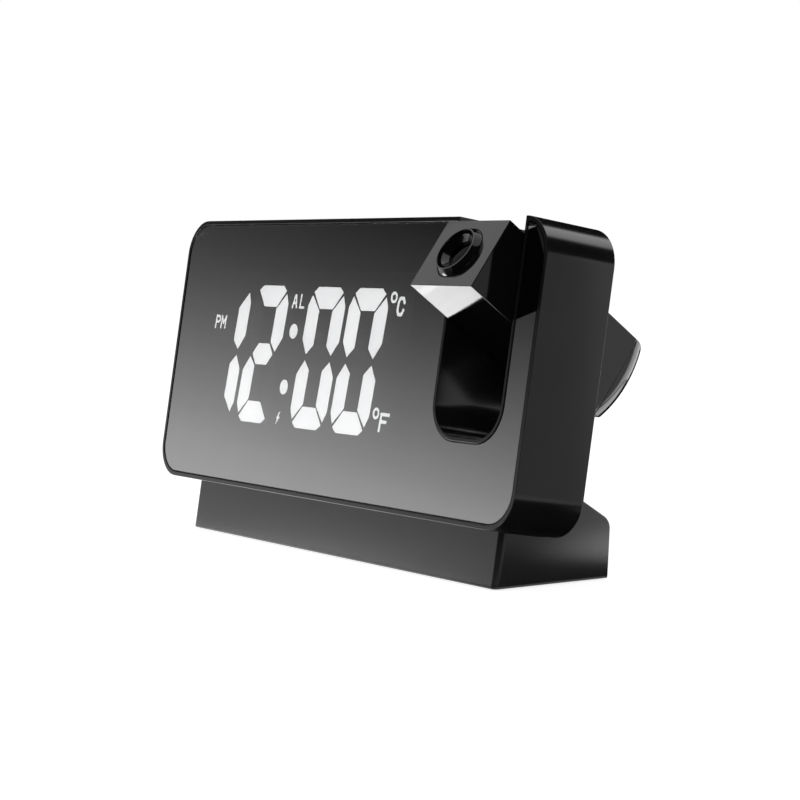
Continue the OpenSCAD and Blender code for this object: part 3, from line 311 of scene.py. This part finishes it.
# %% Moulded plastics
def moulded(name, dark, light, rough, grain_mm, grain_bump, wave_bump=0.02, ior=1.53):
    """Colour drifts between two near values over 14 mm; roughness is rough +- a tenth with the grain;
    height = grain noise x grain_bump + noise of 25 mm x wave_bump, in millimetres."""
    material, tree, where = blank(name)
    drift = add(tree, "TexNoise", Vector=where, Scale=1 / 14, Detail=3.0)
    colour = add(tree, "ValToRGB", Fac=drift.outputs["Fac"], stops=((0.3, dark), (0.7, light)))
    grain = add(tree, "TexNoise", Vector=where, Scale=1 / grain_mm, Detail=2.0)
    gloss = add(tree, "MapRange", Value=grain.outputs["Fac"], From_Min=0.3, From_Max=0.7,
                To_Min=rough * 0.9, To_Max=rough * 1.1)
    wave = add(tree, "TexNoise", Vector=where, Scale=1 / 25, Detail=0.0)
    slow = add(tree, "Bump", Height=wave.outputs["Fac"], Distance=wave_bump * mm, Strength=1.0)
    fine = add(tree, "Bump", Height=grain.outputs["Fac"], Distance=grain_bump * mm, Strength=1.0, Normal=slow)
    add(tree, "OutputMaterial", Surface=add(tree, "BsdfPrincipled", Base_Color=colour.outputs["Color"],
                                            Roughness=gloss.outputs[0], IOR=ior, Normal=fine))
    return material


# the case: a matt-polished mould, black ABS, so a soft sheen and no sparkle
case_plastic = moulded("ABS moulded satin black", "#0c0c0d", "#101011", 0.16, 0.5, 0.001)
# the arm: a mirror-polished mould, so it shows the room sharply
arm_plastic = moulded("ABS moulded polished black", "#060606", "#090909", 0.07, 1.0, 0.0004, 0.006)
# the base: as the case, a little softer
base_plastic = moulded("ABS moulded soft satin black", "#19191a", "#1e1e1f", 0.20, 0.5, 0.002)
# the rear cover: spark-eroded mould, an even dull grain that hides finger marks
cover_plastic = moulded("ABS moulded fine grained black", "#232324", "#2a2a2b", 0.48, 0.7, 0.02)
# the focus ring: acetal, which stays a little waxy
ring_plastic = moulded("acetal moulded black", "#050505", "#080808", 0.10, 1.0, 0.0005, ior=1.48)
# inside: a dull mould round the segments, so no light creeps from one to the next
block_plastic = moulded("ABS moulded matt black", "#0b0b0b", "#101010", 0.6, 0.6, 0.01)
# sockets and connectors: the glass fibre in the nylon makes it greyer and rougher
connector_plastic = moulded("glass filled nylon black", "#1a1a1b", "#232324", 0.5, 0.4, 0.01)
# spacers: undyed nylon is a milky, waxy white
nylon = moulded("nylon moulded natural", "#dcd8cc", "#e6e3d9", 0.45, 0.6, 0.008)
# chips: epoxy full of fine quartz, grey-black and dull
chip_epoxy = moulded("epoxy moulded chip black", "#262626", "#2e2e2e", 0.55, 0.15, 0.01)
# the lens barrel: as black as it can be, with enough gloss to mirror the black in front of it
cell_plastic = moulded("ABS moulded lens cell black", "#040404", "#060606", 0.12, 0.4, 0.01)
# the temperature sensor: a dipped bead, brown and uneven
sensor_resin = moulded("epoxy dipped sensor bead", "#8a5a2c", "#9c6a36", 0.3, 1.2, 0.02)
print("plastics:", len([m for m in bpy.data.materials if m.name.split()[0] in ("ABS", "acetal", "nylon")]))

# %% [markdown]
# Rubber is duller than the grain of its mould: it scatters light just under its skin, so the sheen is
# wide and weak. The keys are silicone, and the pad under the base is a coarse mat that grips the table. The
# vinyl sleeve of the lead is a little glossier than either.

# %% Rubbers
key_rubber = moulded("silicone rubber moulded black", "#242425", "#2b2b2c", 0.62, 0.3, 0.01, ior=1.41)
pad_rubber = moulded("rubber sheet matt black", "#191919", "#222222", 0.85, 1.2, 0.12, ior=1.5)
sleeve_vinyl = moulded("vinyl sleeve black", "#151516", "#1b1b1c", 0.4, 1.5, 0.02)
print("rubbers:", [m.name for m in (key_rubber, pad_rubber, sleeve_vinyl)])

# %% [markdown]
# ## Metals
# A metal has no colour under its mirror, so its own colour is the mirror's. What tells one from another
# is the grain: a stamped strip shows rolling lines, a turned pin has rings, zinc plate is cloudy.

# %% Metals
def metal(name, dark, light, rough, lines=(1.0, 1.0, 1.0), grain_mm=0.6, bump=0.004):
    """Colour and roughness follow one noise, stretched by lines along x, y, z; the same noise is the bump."""
    material, tree, where = blank(name)
    along = add(tree, "Mapping", Vector=where, Scale=lines)
    grain = add(tree, "TexNoise", Vector=along, Scale=1 / grain_mm, Detail=3.0)
    colour = add(tree, "ValToRGB", Fac=grain.outputs["Fac"], stops=((0.3, dark), (0.7, light)))
    gloss = add(tree, "MapRange", Value=grain.outputs["Fac"], From_Min=0.3, From_Max=0.7,
                To_Min=rough * 0.75, To_Max=rough * 1.25)
    fine = add(tree, "Bump", Height=grain.outputs["Fac"], Distance=bump * mm, Strength=1.0)
    add(tree, "OutputMaterial", Surface=add(tree, "BsdfPrincipled", Base_Color=colour.outputs["Color"],
                                            Metallic=1.0, Roughness=gloss.outputs[0], Normal=fine))
    return material


screw_steel = metal("steel zinc plated", "#8d9096", "#a5a8ad", 0.28)  # cloudy and a little blue
switch_steel = metal("steel stamped bright", "#b5b5b5", "#c9c9c9", 0.22, (0.1, 1, 1))  # bright, rolled along x
cell_steel = metal("steel nickel plated cell can", "#bdbab4", "#cdcac4", 0.2, grain_mm=0.4)  # warm and smooth
socket_steel = metal("steel nickel plated socket", "#a8a7a4", "#bcbbb7", 0.24, (1, 0.1, 1))  # warm, rolled along y
pivot_steel = metal("steel turned", "#a0a0a3", "#b8b8bb", 0.2, (12, 0.4, 0.4))  # fine rings round its axis, x
# the ballast bar: dark and rough with scale, drawn lines along its length
ballast_steel = metal("steel bar mill finish", "#5a5c60", "#717377", 0.5, (0.05, 1, 1), 0.8, 0.02)
# the heat sink: dull black, with the faint lines of the die it was pressed through
sink_aluminium = metal("aluminium extruded anodised black", "#2a2b2d", "#36373a", 0.4, (1, 0.08, 1))
print("metals:", len([m for m in bpy.data.materials if m.name.split()[0] in ("steel", "aluminium")]))

# %% [markdown]
# ## The display
# The panel is an acrylic sheet with a thin half mirror and a smoke tint. It throws back a little over a
# third of the light, like a weak grey mirror, and lets a quarter through, so that only the lit segments show
# and the dark ones vanish. One shader does both: a metal-like mirror colour, and an alpha for the part that
# lets light through. Polished sheet is very flat, so the waves in its mirror are tiny.

# %% Half mirror and clear sheet
mirror_part = 0.75  # the rest goes through
panel_mirror, tree, where = blank("acrylic sheet half mirrored smoke")
haze = add(tree, "TexNoise", Vector=where, Scale=1 / 30, Detail=3.0)
tint = add(tree, "ValToRGB", Fac=haze.outputs["Fac"], stops=((0.3, "#b9b9b9"), (0.7, "#bcbcbc")))
gloss = add(tree, "MapRange", Value=haze.outputs["Fac"], From_Min=0.3, From_Max=0.7, To_Min=0.02, To_Max=0.035)
wave = add(tree, "TexNoise", Vector=where, Scale=1 / 60, Detail=0.0)
flat = add(tree, "Bump", Height=wave.outputs["Fac"], Distance=0.01 * mm, Strength=1.0)
add(tree, "OutputMaterial", Surface=add(tree, "BsdfPrincipled", Base_Color=tint.outputs["Color"], Metallic=1.0,
                                        Roughness=gloss.outputs[0], Alpha=mirror_part, Normal=flat))

# the sheet behind the film: clear, so only its own gloss shows
clear_sheet, tree, where = blank("acrylic sheet clear")
haze = add(tree, "TexNoise", Vector=where, Scale=1 / 20, Detail=2.0)
gloss = add(tree, "MapRange", Value=haze.outputs["Fac"], To_Min=0.02, To_Max=0.05)
add(tree, "OutputMaterial", Surface=add(tree, "BsdfPrincipled", Base_Color="#101010", Roughness=gloss.outputs[0],
                                        IOR=1.49, Alpha=0.06))
print("the half mirror throws back", round(mirror_part * float(linear("#bababa")[0]), 2), "of the light")

# %% [markdown]
# A segment is a slot in a black block with a milky film over it and an LED under it. The film is never
# quite even. The unlit segments have the same film, but with no light behind it the smoke tint hides it.

# %% Segments and LEDs
lit_film, tree, where = blank("polycarbonate diffuser lit white")
cloud = add(tree, "TexNoise", Vector=where, Scale=1 / 9, Detail=2.0)
shine = add(tree, "ValToRGB", Fac=cloud.outputs["Fac"], stops=((0.25, "#f2f4f6"), (0.75, "#ffffff")))
add(tree, "OutputMaterial", Surface=add(tree, "BsdfPrincipled", Base_Color="#e8e8e8", Roughness=0.4,
                                        Emission_Color=shine.outputs["Color"], Emission_Strength=2.75))

unlit_film = moulded("polycarbonate diffuser unlit", "#0c0c0c", "#111111", 0.4, 0.5, 0.004, ior=1.58)

# an LED: a white tub filled with yellow phosphor gel
phosphor, tree, where = blank("LED phosphor gel")
gel = add(tree, "TexVoronoi", Vector=where, Scale=3.0)
gold = add(tree, "ValToRGB", Fac=gel.outputs["Distance"], stops=((0.0, "#f3e27a"), (0.9, "#e2c94f")))
add(tree, "OutputMaterial", Surface=add(tree, "BsdfPrincipled", Base_Color=gold.outputs["Color"],
                                        Roughness=0.25, IOR=1.41))
print("films:", lit_film.name, "and", unlit_film.name)

# %% [markdown]
# ## Boards and glass
# Solder resist is a thin green lacquer over copper. The copper tracks show through as lighter lines,
# raised by their own 0.035 mm. A brick pattern, cut fine, reads as tracks from any distance.

# %% Boards
def board(name, lacquer, track, rough):
    """Tracks where a brick pattern of 2.4 mm x 0.9 mm has its joints: a lighter colour and a raised edge."""
    material, tree, where = blank(name)
    laid = add(tree, "TexBrick", Vector=where, Color1=lacquer, Color2=lacquer, Mortar=track, Scale=1.0,
               Mortar_Size=0.12, Brick_Width=2.4, Row_Height=0.9)
    raised = add(tree, "Bump", Height=laid.outputs["Fac"], Distance=0.035 * mm, Strength=0.6)
    drift = add(tree, "TexNoise", Vector=where, Scale=1 / 6, Detail=2.0)
    gloss = add(tree, "MapRange", Value=drift.outputs["Fac"], To_Min=rough * 0.8, To_Max=rough * 1.2)
    add(tree, "OutputMaterial", Surface=add(tree, "BsdfPrincipled", Base_Color=laid.outputs["Color"],
                                            Roughness=gloss.outputs[0], IOR=1.55, Normal=raised))
    return material


green_board = board("glass epoxy board green resist", "#12512c", "#2a7a45", 0.3)
white_board = board("aluminium board white resist", "#dedfdd", "#c8cac8", 0.35)
print("boards:", green_board.name, "and", white_board.name)

# %% [markdown]
# The lens is moulded acrylic with a thin coating against reflections, which leaves a weak bluish bloom. Its
# colour is also painted shade: a near-black tint on all light through it stands in for the dark inside of
# the projector. The projector's small LCD is glass between two polarisers, so it is grey, with its cells as a
# fine check.

# %% Lens and LCD
clear_lens, tree, where = blank("acrylic lens coated tinted dark as painted shade")
film = add(tree, "TexNoise", Vector=where, Scale=1 / 3, Detail=1.0)
# painted shade: these near-black colours tint all light through the lens, standing in for the dark projector
# inside
bloom_and_painted_dark_tint = add(tree, "ValToRGB", Fac=film.outputs["Fac"], stops=((0.3, "#3a4148"), (0.7, "#454841")))
gloss = add(tree, "MapRange", Value=film.outputs["Fac"], To_Min=0.01, To_Max=0.03)
bare = add(tree, "BsdfPrincipled", Base_Color=bloom_and_painted_dark_tint.outputs["Color"], Roughness=gloss.outputs[0], IOR=1.49,
           Transmission_Weight=1.0)
coating = 0.8  # the coating takes away four fifths of the lens's mirror image
through = add(tree, "BsdfRefraction", Color=bloom_and_painted_dark_tint.outputs["Color"], Roughness=gloss.outputs[0], IOR=1.49)
add(tree, "OutputMaterial", Surface=add(tree, "MixShader", in0=coating, in1=bare, in2=through))

lcd_glass, tree, where = blank("LCD glass polarised")
cells = add(tree, "TexChecker", Vector=where, Scale=2.5, Color1="#27383d", Color2="#2f444a")
gloss = add(tree, "MapRange", Value=cells.outputs["Fac"], To_Min=0.06, To_Max=0.12)
add(tree, "OutputMaterial", Surface=add(tree, "BsdfPrincipled", Base_Color=cells.outputs["Color"],
                                        Roughness=gloss.outputs[0], IOR=1.5, Alpha=0.9))
print("glass:", clear_lens.name, "and", lcd_glass.name)

# %% [markdown]
# ## Dressing the parts
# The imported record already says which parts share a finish: its material slots. So the dressing is one
# table from slot to material, and no part can be missed.

# %% Materials by slot
finishes = {
    "satin_black_case": case_plastic, "gloss_black_arm": arm_plastic, "satin_black_base": base_plastic,
    "matte_black_cover": cover_plastic, "focus_ring_black": ring_plastic, "smoked_mirror_panel": panel_mirror,
    "segment_block_black": block_plastic, "lit_diffuser": lit_film, "unlit_diffuser": unlit_film,
    "led_package": phosphor, "circuit_board": green_board, "lamp_board_white": white_board,
    "nylon_spacer": nylon, "chip_package": chip_epoxy, "screw_steel": screw_steel, "switch_metal": switch_steel,
    "connector_black": connector_plastic, "cell_steel": cell_steel, "sensor_epoxy": sensor_resin,
    "socket_steel": socket_steel, "key_rubber": key_rubber, "pivot_steel": pivot_steel,
    "lens_cell_black": cell_plastic, "clear_lens": clear_lens, "lcd_glass": lcd_glass,
    "heat_sink_aluminium": sink_aluminium, "lead_sleeve": sleeve_vinyl, "ballast_steel": ballast_steel,
    "pad_rubber": pad_rubber}
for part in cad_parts.values():
    for place in part.material_slots:
        place.material = finishes[place.material.name]
print("dressed:", len(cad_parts), "parts in", len(finishes), "finishes")

# %% [markdown]
# ## Softened edges
# A mould can't hold a perfectly sharp edge, and the eye knows it: a moulded edge draws a fine line of
# light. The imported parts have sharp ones, so each shell gets a Bevel modifier. Its triangles come loose,
# and a Bevel would see a hole beside every one of them, so a Weld modifier joins them first. Weighted
# Normal then lets the large faces decide the shading, so a flat face stays flat up to its rounded edge.

# %% Edge rounding
def soften(radius, *names):
    """Joins a part's triangles, then rounds every edge that turns by more than 40 degrees. The radius is in
    millimetres."""
    for name in names:
        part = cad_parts[name]
        weld = part.modifiers.new("weld", "WELD")
        weld.merge_threshold = 0.001 * mm
        flat = part.modifiers.new("flat", "DECIMATE")
        flat.decimate_type, flat.angle_limit = "DISSOLVE", math.radians(0.2)
        bevel = part.modifiers.new("edge", "BEVEL")
        bevel.width, bevel.segments, bevel.angle_limit = radius * mm, 2, math.radians(40)
        bevel.limit_method, bevel.use_clamp_overlap = "ANGLE", False
        part.modifiers.new("shading", "WEIGHTED_NORMAL")


soften(0.35, "base_housing")  # the corners of the base are the roundest
soften(0.18, "arm_housing", "arm_cap", "base_plate", "snooze_bar", "battery_door")
soften(0.12, "case_shell", "rear_cover", "set_key", "up_key", "down_key", "alarm_key", "projection_key")
print("softened:", sum(1 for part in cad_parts.values() if part.modifiers))

# %% [markdown]
# ## The display panel
# A half mirror is a film on one face of the sheet. If all six faces were mirrors, light from the segments
# would have to pass two of them. So the panel is made new: a mirror in front, clear acrylic round the
# sides and behind, and a polished chamfer where the saw cut was taken off. Its outline is a path, and the
# section of the sheet is carried along it.

# %% Panel outline
case_w, case_h, case_r, rim = 185.0, 80.8, 10.4, 1.4  # the case's width, height, corner and rim
slot_x0, slot_x1, slot_u, slot_round, slot_rim = 53.0, 81.8, 22.4, 9.5, 1.05  # its slot's sides, foot, corner, rim


def arc(x, u, r, start, end, steps=14):
    """Points of a circle's arc: centre + r * (cos a, sin a), with a from start to end in equal steps, in
    degrees."""
    a = np.radians(np.linspace(start, end, steps))
    return np.stack([x + r * np.cos(a), u + r * np.sin(a)], 1)


def panel_path():
    """The panel's edge, anticlockwise seen from the front: four outer corners and the slot's two, joined by lines.
    The slot cuts the top right corner's arc where its cosine is the wall's distance from the centre over r."""
    right, top, r = case_w / 2 - rim, case_h - rim, case_r - rim
    left_wall, right_wall = slot_x0 - slot_rim, slot_x1 + slot_rim
    low, round_in = slot_u - slot_rim, slot_round + slot_rim
    cut = math.degrees(math.acos((right_wall - right + r) / r))
    return np.concatenate([
        arc(-right + r, rim + r, r, 180, 270), arc(right - r, rim + r, r, 270, 360),
        arc(right - r, top - r, r, 0, cut),
        arc(right_wall - round_in, low + round_in, round_in, 0, -90),
        arc(left_wall + round_in, low + round_in, round_in, 270, 180),
        [[left_wall, top]], arc(-right + r, top - r, r, 90, 180)])


def inward(path, distance):
    """Each point moved to the left of the path, along the middle of the two edges' normals, so far that both
    edges move by the distance: d * (n1 + n2) / (1 + n1 . n2)."""
    along = np.roll(path, -1, 0) - path
    along /= np.linalg.norm(along, axis=1, keepdims=True)
    n2 = np.stack([-along[:, 1], along[:, 0]], 1)
    n1 = np.roll(n2, 1, 0)
    return path + distance * (n1 + n2) / (1 + (n1 * n2).sum(1, keepdims=True))


print("panel outline:", len(panel_path()), "points, its slot", slot_x1 - slot_x0 + 2 * slot_rim, "mm wide")

# %% The leaning case
lean = math.radians(9.3)
foot_y, foot_z = -23.9, 16.6


def leaned(x, v, u):
    """From across, into and up the leaning face to the table's frame: turn by the lean, then shift to the foot."""
    y = foot_y + v * math.cos(lean) + u * math.sin(lean)
    return np.stack(np.broadcast_arrays(x, y, foot_z + u * math.cos(lean) - v * math.sin(lean)), -1)


sideways = np.array([1.0, 0.0, 0.0])
into_case = leaned(0, 1.0, 0) - leaned(0, 0.0, 0)
up_case = leaned(0, 0, 1.0) - leaned(0, 0, 0)
print("straight out of the back:", into_case.round(3), "and up the face:", up_case.round(3))

# %% Panel mesh
def sheet_along(name, path, section, front, rest):
    """A sheet whose edge section, rows of (inset, depth), is carried round the closed path; the first and last
    rings are filled. The face in the first ring gets the front material, all others the rest."""
    rings = [inward(path, inset) for inset, _ in section]
    points = np.concatenate([leaned(ring[:, 0], depth, ring[:, 1]) for ring, (_, depth) in zip(rings, section)])
    n = len(path)
    i = np.arange(n)
    j = (i + 1) % n
    walls = np.concatenate([np.stack([k * n + i, (k + 1) * n + i, (k + 1) * n + j, k * n + j], 1)
                            for k in range(len(section) - 1)])
    faces = [i.tolist(), ((len(section) - 1) * n + i[::-1]).tolist()] + walls.tolist()
    made = surface(name, points, faces, front, smooth=False)
    made.data.materials.append(rest)
    made.data.polygons.foreach_set("material_index", np.r_[0, np.ones(len(faces) - 1, int)])
    return made


chamfered = [(0.25, 0.2), (0.0, 0.4), (0.0, 1.7)]  # the front's edge, the chamfer's foot and the back's edge
panel = sheet_along("display_panel", panel_path(), chamfered, panel_mirror, clear_sheet)
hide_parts("mirror_panel")
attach(panel, "case")
was, now = np.array(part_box("mirror_panel")) / mm, np.array([v.co for v in panel.data.vertices]) / mm
print("panel box off by mm:", np.abs(np.stack([now.min(0), now.max(0)]) - was).max().round(3))

# %% [markdown]
# ## Screws with a cross recess
# Six small pan-head screws hold the rear cover, four hold the bottom plate and two the end of the arm. The
# driver's cross is what makes a screw a screw, and a smooth disc in its place looks like a rivet. Each one
# is a set of rings round its axis; three of the rings follow the outline of the cross instead of a circle.

# %% The rings of a screw
def screw_rings(head_r, head_h, shank_r, length, arm_w=0.62, arm_l=1.25, deep=0.7, turns=96):
    """Rings of a screw whose head ends at 0 and whose tip is at -length. The cross at an angle a reaches to
    min(arm_l, arm_w / 2 / min(|cos a|, |sin a|)), the arms' width divided by how fast the ray leaves the arm."""
    a = np.linspace(0, 2 * math.pi, turns, endpoint=False)
    away = np.minimum(np.abs(np.cos(a)), np.abs(np.sin(a))).clip(1e-6)
    cross = np.minimum(arm_l, arm_w / 2 / away)
    ones = np.ones(turns)
    rings = [  # radius and height: the recess, the domed top, the head's foot, then the shank and its point
        (0, -deep), (0.72 * cross, -0.8 * deep), (cross, -0.05), (1.06 * cross + 0.04, 0.0),
        (0.84 * head_r, 0.0), (0.94 * head_r, -0.08), (head_r, -0.28), (head_r, -head_h),
        (shank_r, -head_h), (shank_r, 0.7 - length), (0.5 * shank_r, 0.1 - length), (0, -length)]
    radius, height = (np.array([part * ones for part in column]) for column in zip(*rings))
    return np.stack([radius * np.cos(a), radius * np.sin(a), height], -1)


def rung_faces(rings, turns):
    """The squares between neighbouring rings, each closed round to its first point, facing away from the axis."""
    i, j = np.meshgrid(np.arange(rings - 1), np.arange(turns), indexing="ij")
    k = (j + 1) % turns
    return np.stack([i * turns + j, (i + 1) * turns + j, (i + 1) * turns + k, i * turns + k], -1).reshape(-1, 4)


pan_head = (1.9, 1.2, 0.95)  # the head's radius and height, and the shank's radius
print("rings of a screw and points of a ring:", screw_rings(*pan_head, 9.4).shape[:2])


# %% Screws of one size
def screws(name, node, body, length, places, out):
    """Screws of one length: their heads end at the places, in table millimetres, and out is their axis. A point
    (x, y, z) of the rings goes to place + x * sideways + y * (out x sideways) + z * out."""
    rings = screw_rings(*pan_head, length)
    turned = rings.reshape(-1, 3) @ np.stack([sideways, np.cross(out, sideways), out])
    n, count = len(turned), rings.shape[1]
    points = (np.array(places)[:, None] + turned).reshape(-1, 3)
    faces = (np.arange(len(places))[:, None, None] * n + rung_faces(len(rings), count)).reshape(-1, 4)
    made = surface(name, points, faces, screw_steel)
    weld = made.modifiers.new("poles", "WELD")
    weld.merge_threshold = 0.0001 * mm
    made.data.set_sharp_from_angle(angle=math.radians(35))
    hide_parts(node)
    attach(made, body)
    was, now = np.array(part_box(node)) / mm, np.stack([points.min(0), points.max(0)])
    print(name, len(places), "box off by mm:", np.abs(now - was).max().round(3))


# %% Screws in the cover, the base and the arm
cover_places = ((-84.5, 8), (-84.5, 72.8), (43.2, 72.8), (43.2, 8), (84.5, 8), (87.05, 68.0))
screws("rear_cover_screws", "cover_screws", "case", 9.4, [leaned(x, 22.1, u) for x, u in cover_places], into_case)
screws("bottom_plate_screws", "base_screws", "case", 10.3,
       [(x, y, 0.5) for x in (-72.8, 72.8) for y in (-12.3, 12.3)], np.array([0.0, 0.0, -1.0]))
tilt = lean + math.radians(27.2)  # the arm's lens axis above the table
along_arm = np.array([0, math.cos(tilt), -math.sin(tilt)])  # to its round end
under_arm = np.array([0, -math.sin(tilt), -math.cos(tilt)])
pivot = leaned(67.4, 14.5, 57.6)
to_end_screws, to_underside, to_lens_face = 22.4, 10.3, 26.3  # from the pivot
screws("arm_end_screws", "arm_screws", "arm", 4.7,
       [pivot + x * sideways + to_end_screws * along_arm + to_underside * under_arm for x in (-7, 7)], under_arm)

# %% [markdown]
# ## Focus ring and lens barrel
# The ring is turned from acetal: its wall leans in, its front land is only 0.4 mm wide, and the bore opens
# in a cone. The barrel behind it is a black cone as well, because a flat ring in front of a lens would throw
# light into the eye. Both are profiles of radius and height above the arm's face, turned about the lens
# axis. The narrow land faces forward like the arm's face, so it draws the light ring line.

# %% Turned pieces
def turned_piece(name, nodes, body, slot, profile, turns=128):
    """A closed profile of (radius, height) rows, anticlockwise, carried round the lens axis by the angle a:
    point = face centre + radius * (cos a * x + sin a * arm's up) + height * front."""
    radius, height = np.array(profile, float).T
    a = np.linspace(0, 2 * math.pi, turns, endpoint=False)[:, None]
    front = -along_arm
    points = (pivot + to_lens_face * front + (radius * np.cos(a))[..., None] * sideways
              - (radius * np.sin(a))[..., None] * under_arm + height[:, None] * front).reshape(-1, 3)
    n = len(profile)
    i, j = np.meshgrid(np.arange(turns), np.arange(n), indexing="ij")
    i2, j2 = (i + 1) % turns, (j + 1) % n
    faces = np.stack([i * n + j, i2 * n + j, i2 * n + j2, i * n + j2], -1).reshape(-1, 4)
    made = surface(name, points, faces, finishes[slot])
    made.data.set_sharp_from_angle(angle=math.radians(35))
    for node in nodes:
        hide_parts(node)
    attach(made, body)
    boxes = np.array([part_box(node) for node in nodes]) / mm
    was = np.stack([boxes[:, 0].min(0), boxes[:, 1].max(0)])
    print(name, "box off by mm:", np.abs(np.stack([points.min(0), points.max(0)]) - was).max().round(3))


# from the bore's foot: the flange in its groove, the wall, the rounded shoulder, the land and the cone
turned_piece("focus_ring_turned", ["focus_ring"], "focus", "focus_ring_black",
             [(5.46, -3.3), (8.4, -3.3), (8.4, -2.1), (7.6, -2.1), (7.6, 0.1), (7.54, 0.26), (7.1, 1.0),
              (6.53, 1.9), (6.15, 1.9), (6.05, 1.6), (6.0, 1.25), (5.9, 0.8), (5.46, 0.3)])
# from the front of the lens: its seat, the tube, the outside and the rounded front edge; the cone closes it
turned_piece("lens_barrel", ["lens_cell", "lens_retainer"], "lens", "lens_cell_black",
             [(3.9, -0.3), (3.9, -0.45), (4.65, -0.5), (4.65, -3.0), (3.7, -3.0), (3.7, -10.6), (5.4, -10.6),
              (5.4, 1.05), (5.36, 1.16), (5.27, 1.2), (5.2, 1.14)])

# %% [markdown]
# ## Raised letters
# The keys are told apart by small letters that are cut into the mould of the rear cover, so they stand out
# by 0.3 mm in the same black plastic. They catch the light only on their edges.

# %% Words cut into a mould
def raised_words(name, body, slot, words, size, rise=0.3, sunk=0.05):
    """Words in the built-in type, each centred on a place (x, u) of the rear cover, read from behind: a point
    (p, q) of a letter goes to x - p, u + q, and the letter reaches from sunk below the cover to rise above."""
    cover = np.array([v.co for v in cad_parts["rear_cover"].data.vertices]) / mm - leaned(0, 0, 0)
    face = (cover @ into_case).max()
    points, faces = [], []
    for word, x, u in words:
        curve = bpy.data.curves.new(word, "FONT")
        curve.body, curve.size, curve.extrude = word, size, (rise + sunk) / 2
        curve.align_x = curve.align_y = "CENTER"
        letters = bpy.data.objects.new(word, curve)
        scene.collection.objects.link(letters)
        bpy.context.view_layer.update()
        mesh = letters.evaluated_get(bpy.context.evaluated_depsgraph_get()).to_mesh()
        flat = np.array([v.co for v in mesh.vertices])
        first = sum(len(each) for each in points)
        faces += [[first + i for i in polygon.vertices] for polygon in mesh.polygons]
        points.append(leaned(x - flat[:, 0], face + (rise - sunk) / 2 + flat[:, 2], u + flat[:, 1]))
        bpy.data.objects.remove(letters)
        bpy.data.curves.remove(curve)
    made = surface(name, np.concatenate(points), faces, finishes[slot], smooth=False)
    weld = made.modifiers.new("joined", "WELD")
    weld.merge_threshold = 0.001 * mm
    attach(made, body)
    print(name, "points:", sum(len(each) for each in points), "cover face at", round(float(face), 2))


# %% Letters under the keys
letter_size, below_key = 3.6, 6.5
key_words = []
for node, word in (("set_key", "SET"), ("up_key", "+"), ("down_key", "-"), ("alarm_key", "AL"),
                   ("projection_key", "PROJ")):
    middle = np.array(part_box(node)).mean(0) / mm - leaned(0, 0, 0)
    key_words.append((word, float(middle[0]), float(middle @ up_case) - below_key))
raised_words("key_letters", "case", "matte_black_cover", key_words, letter_size)
print("letters at:", [(w, round(x, 1), round(u, 1)) for w, x, u in key_words])
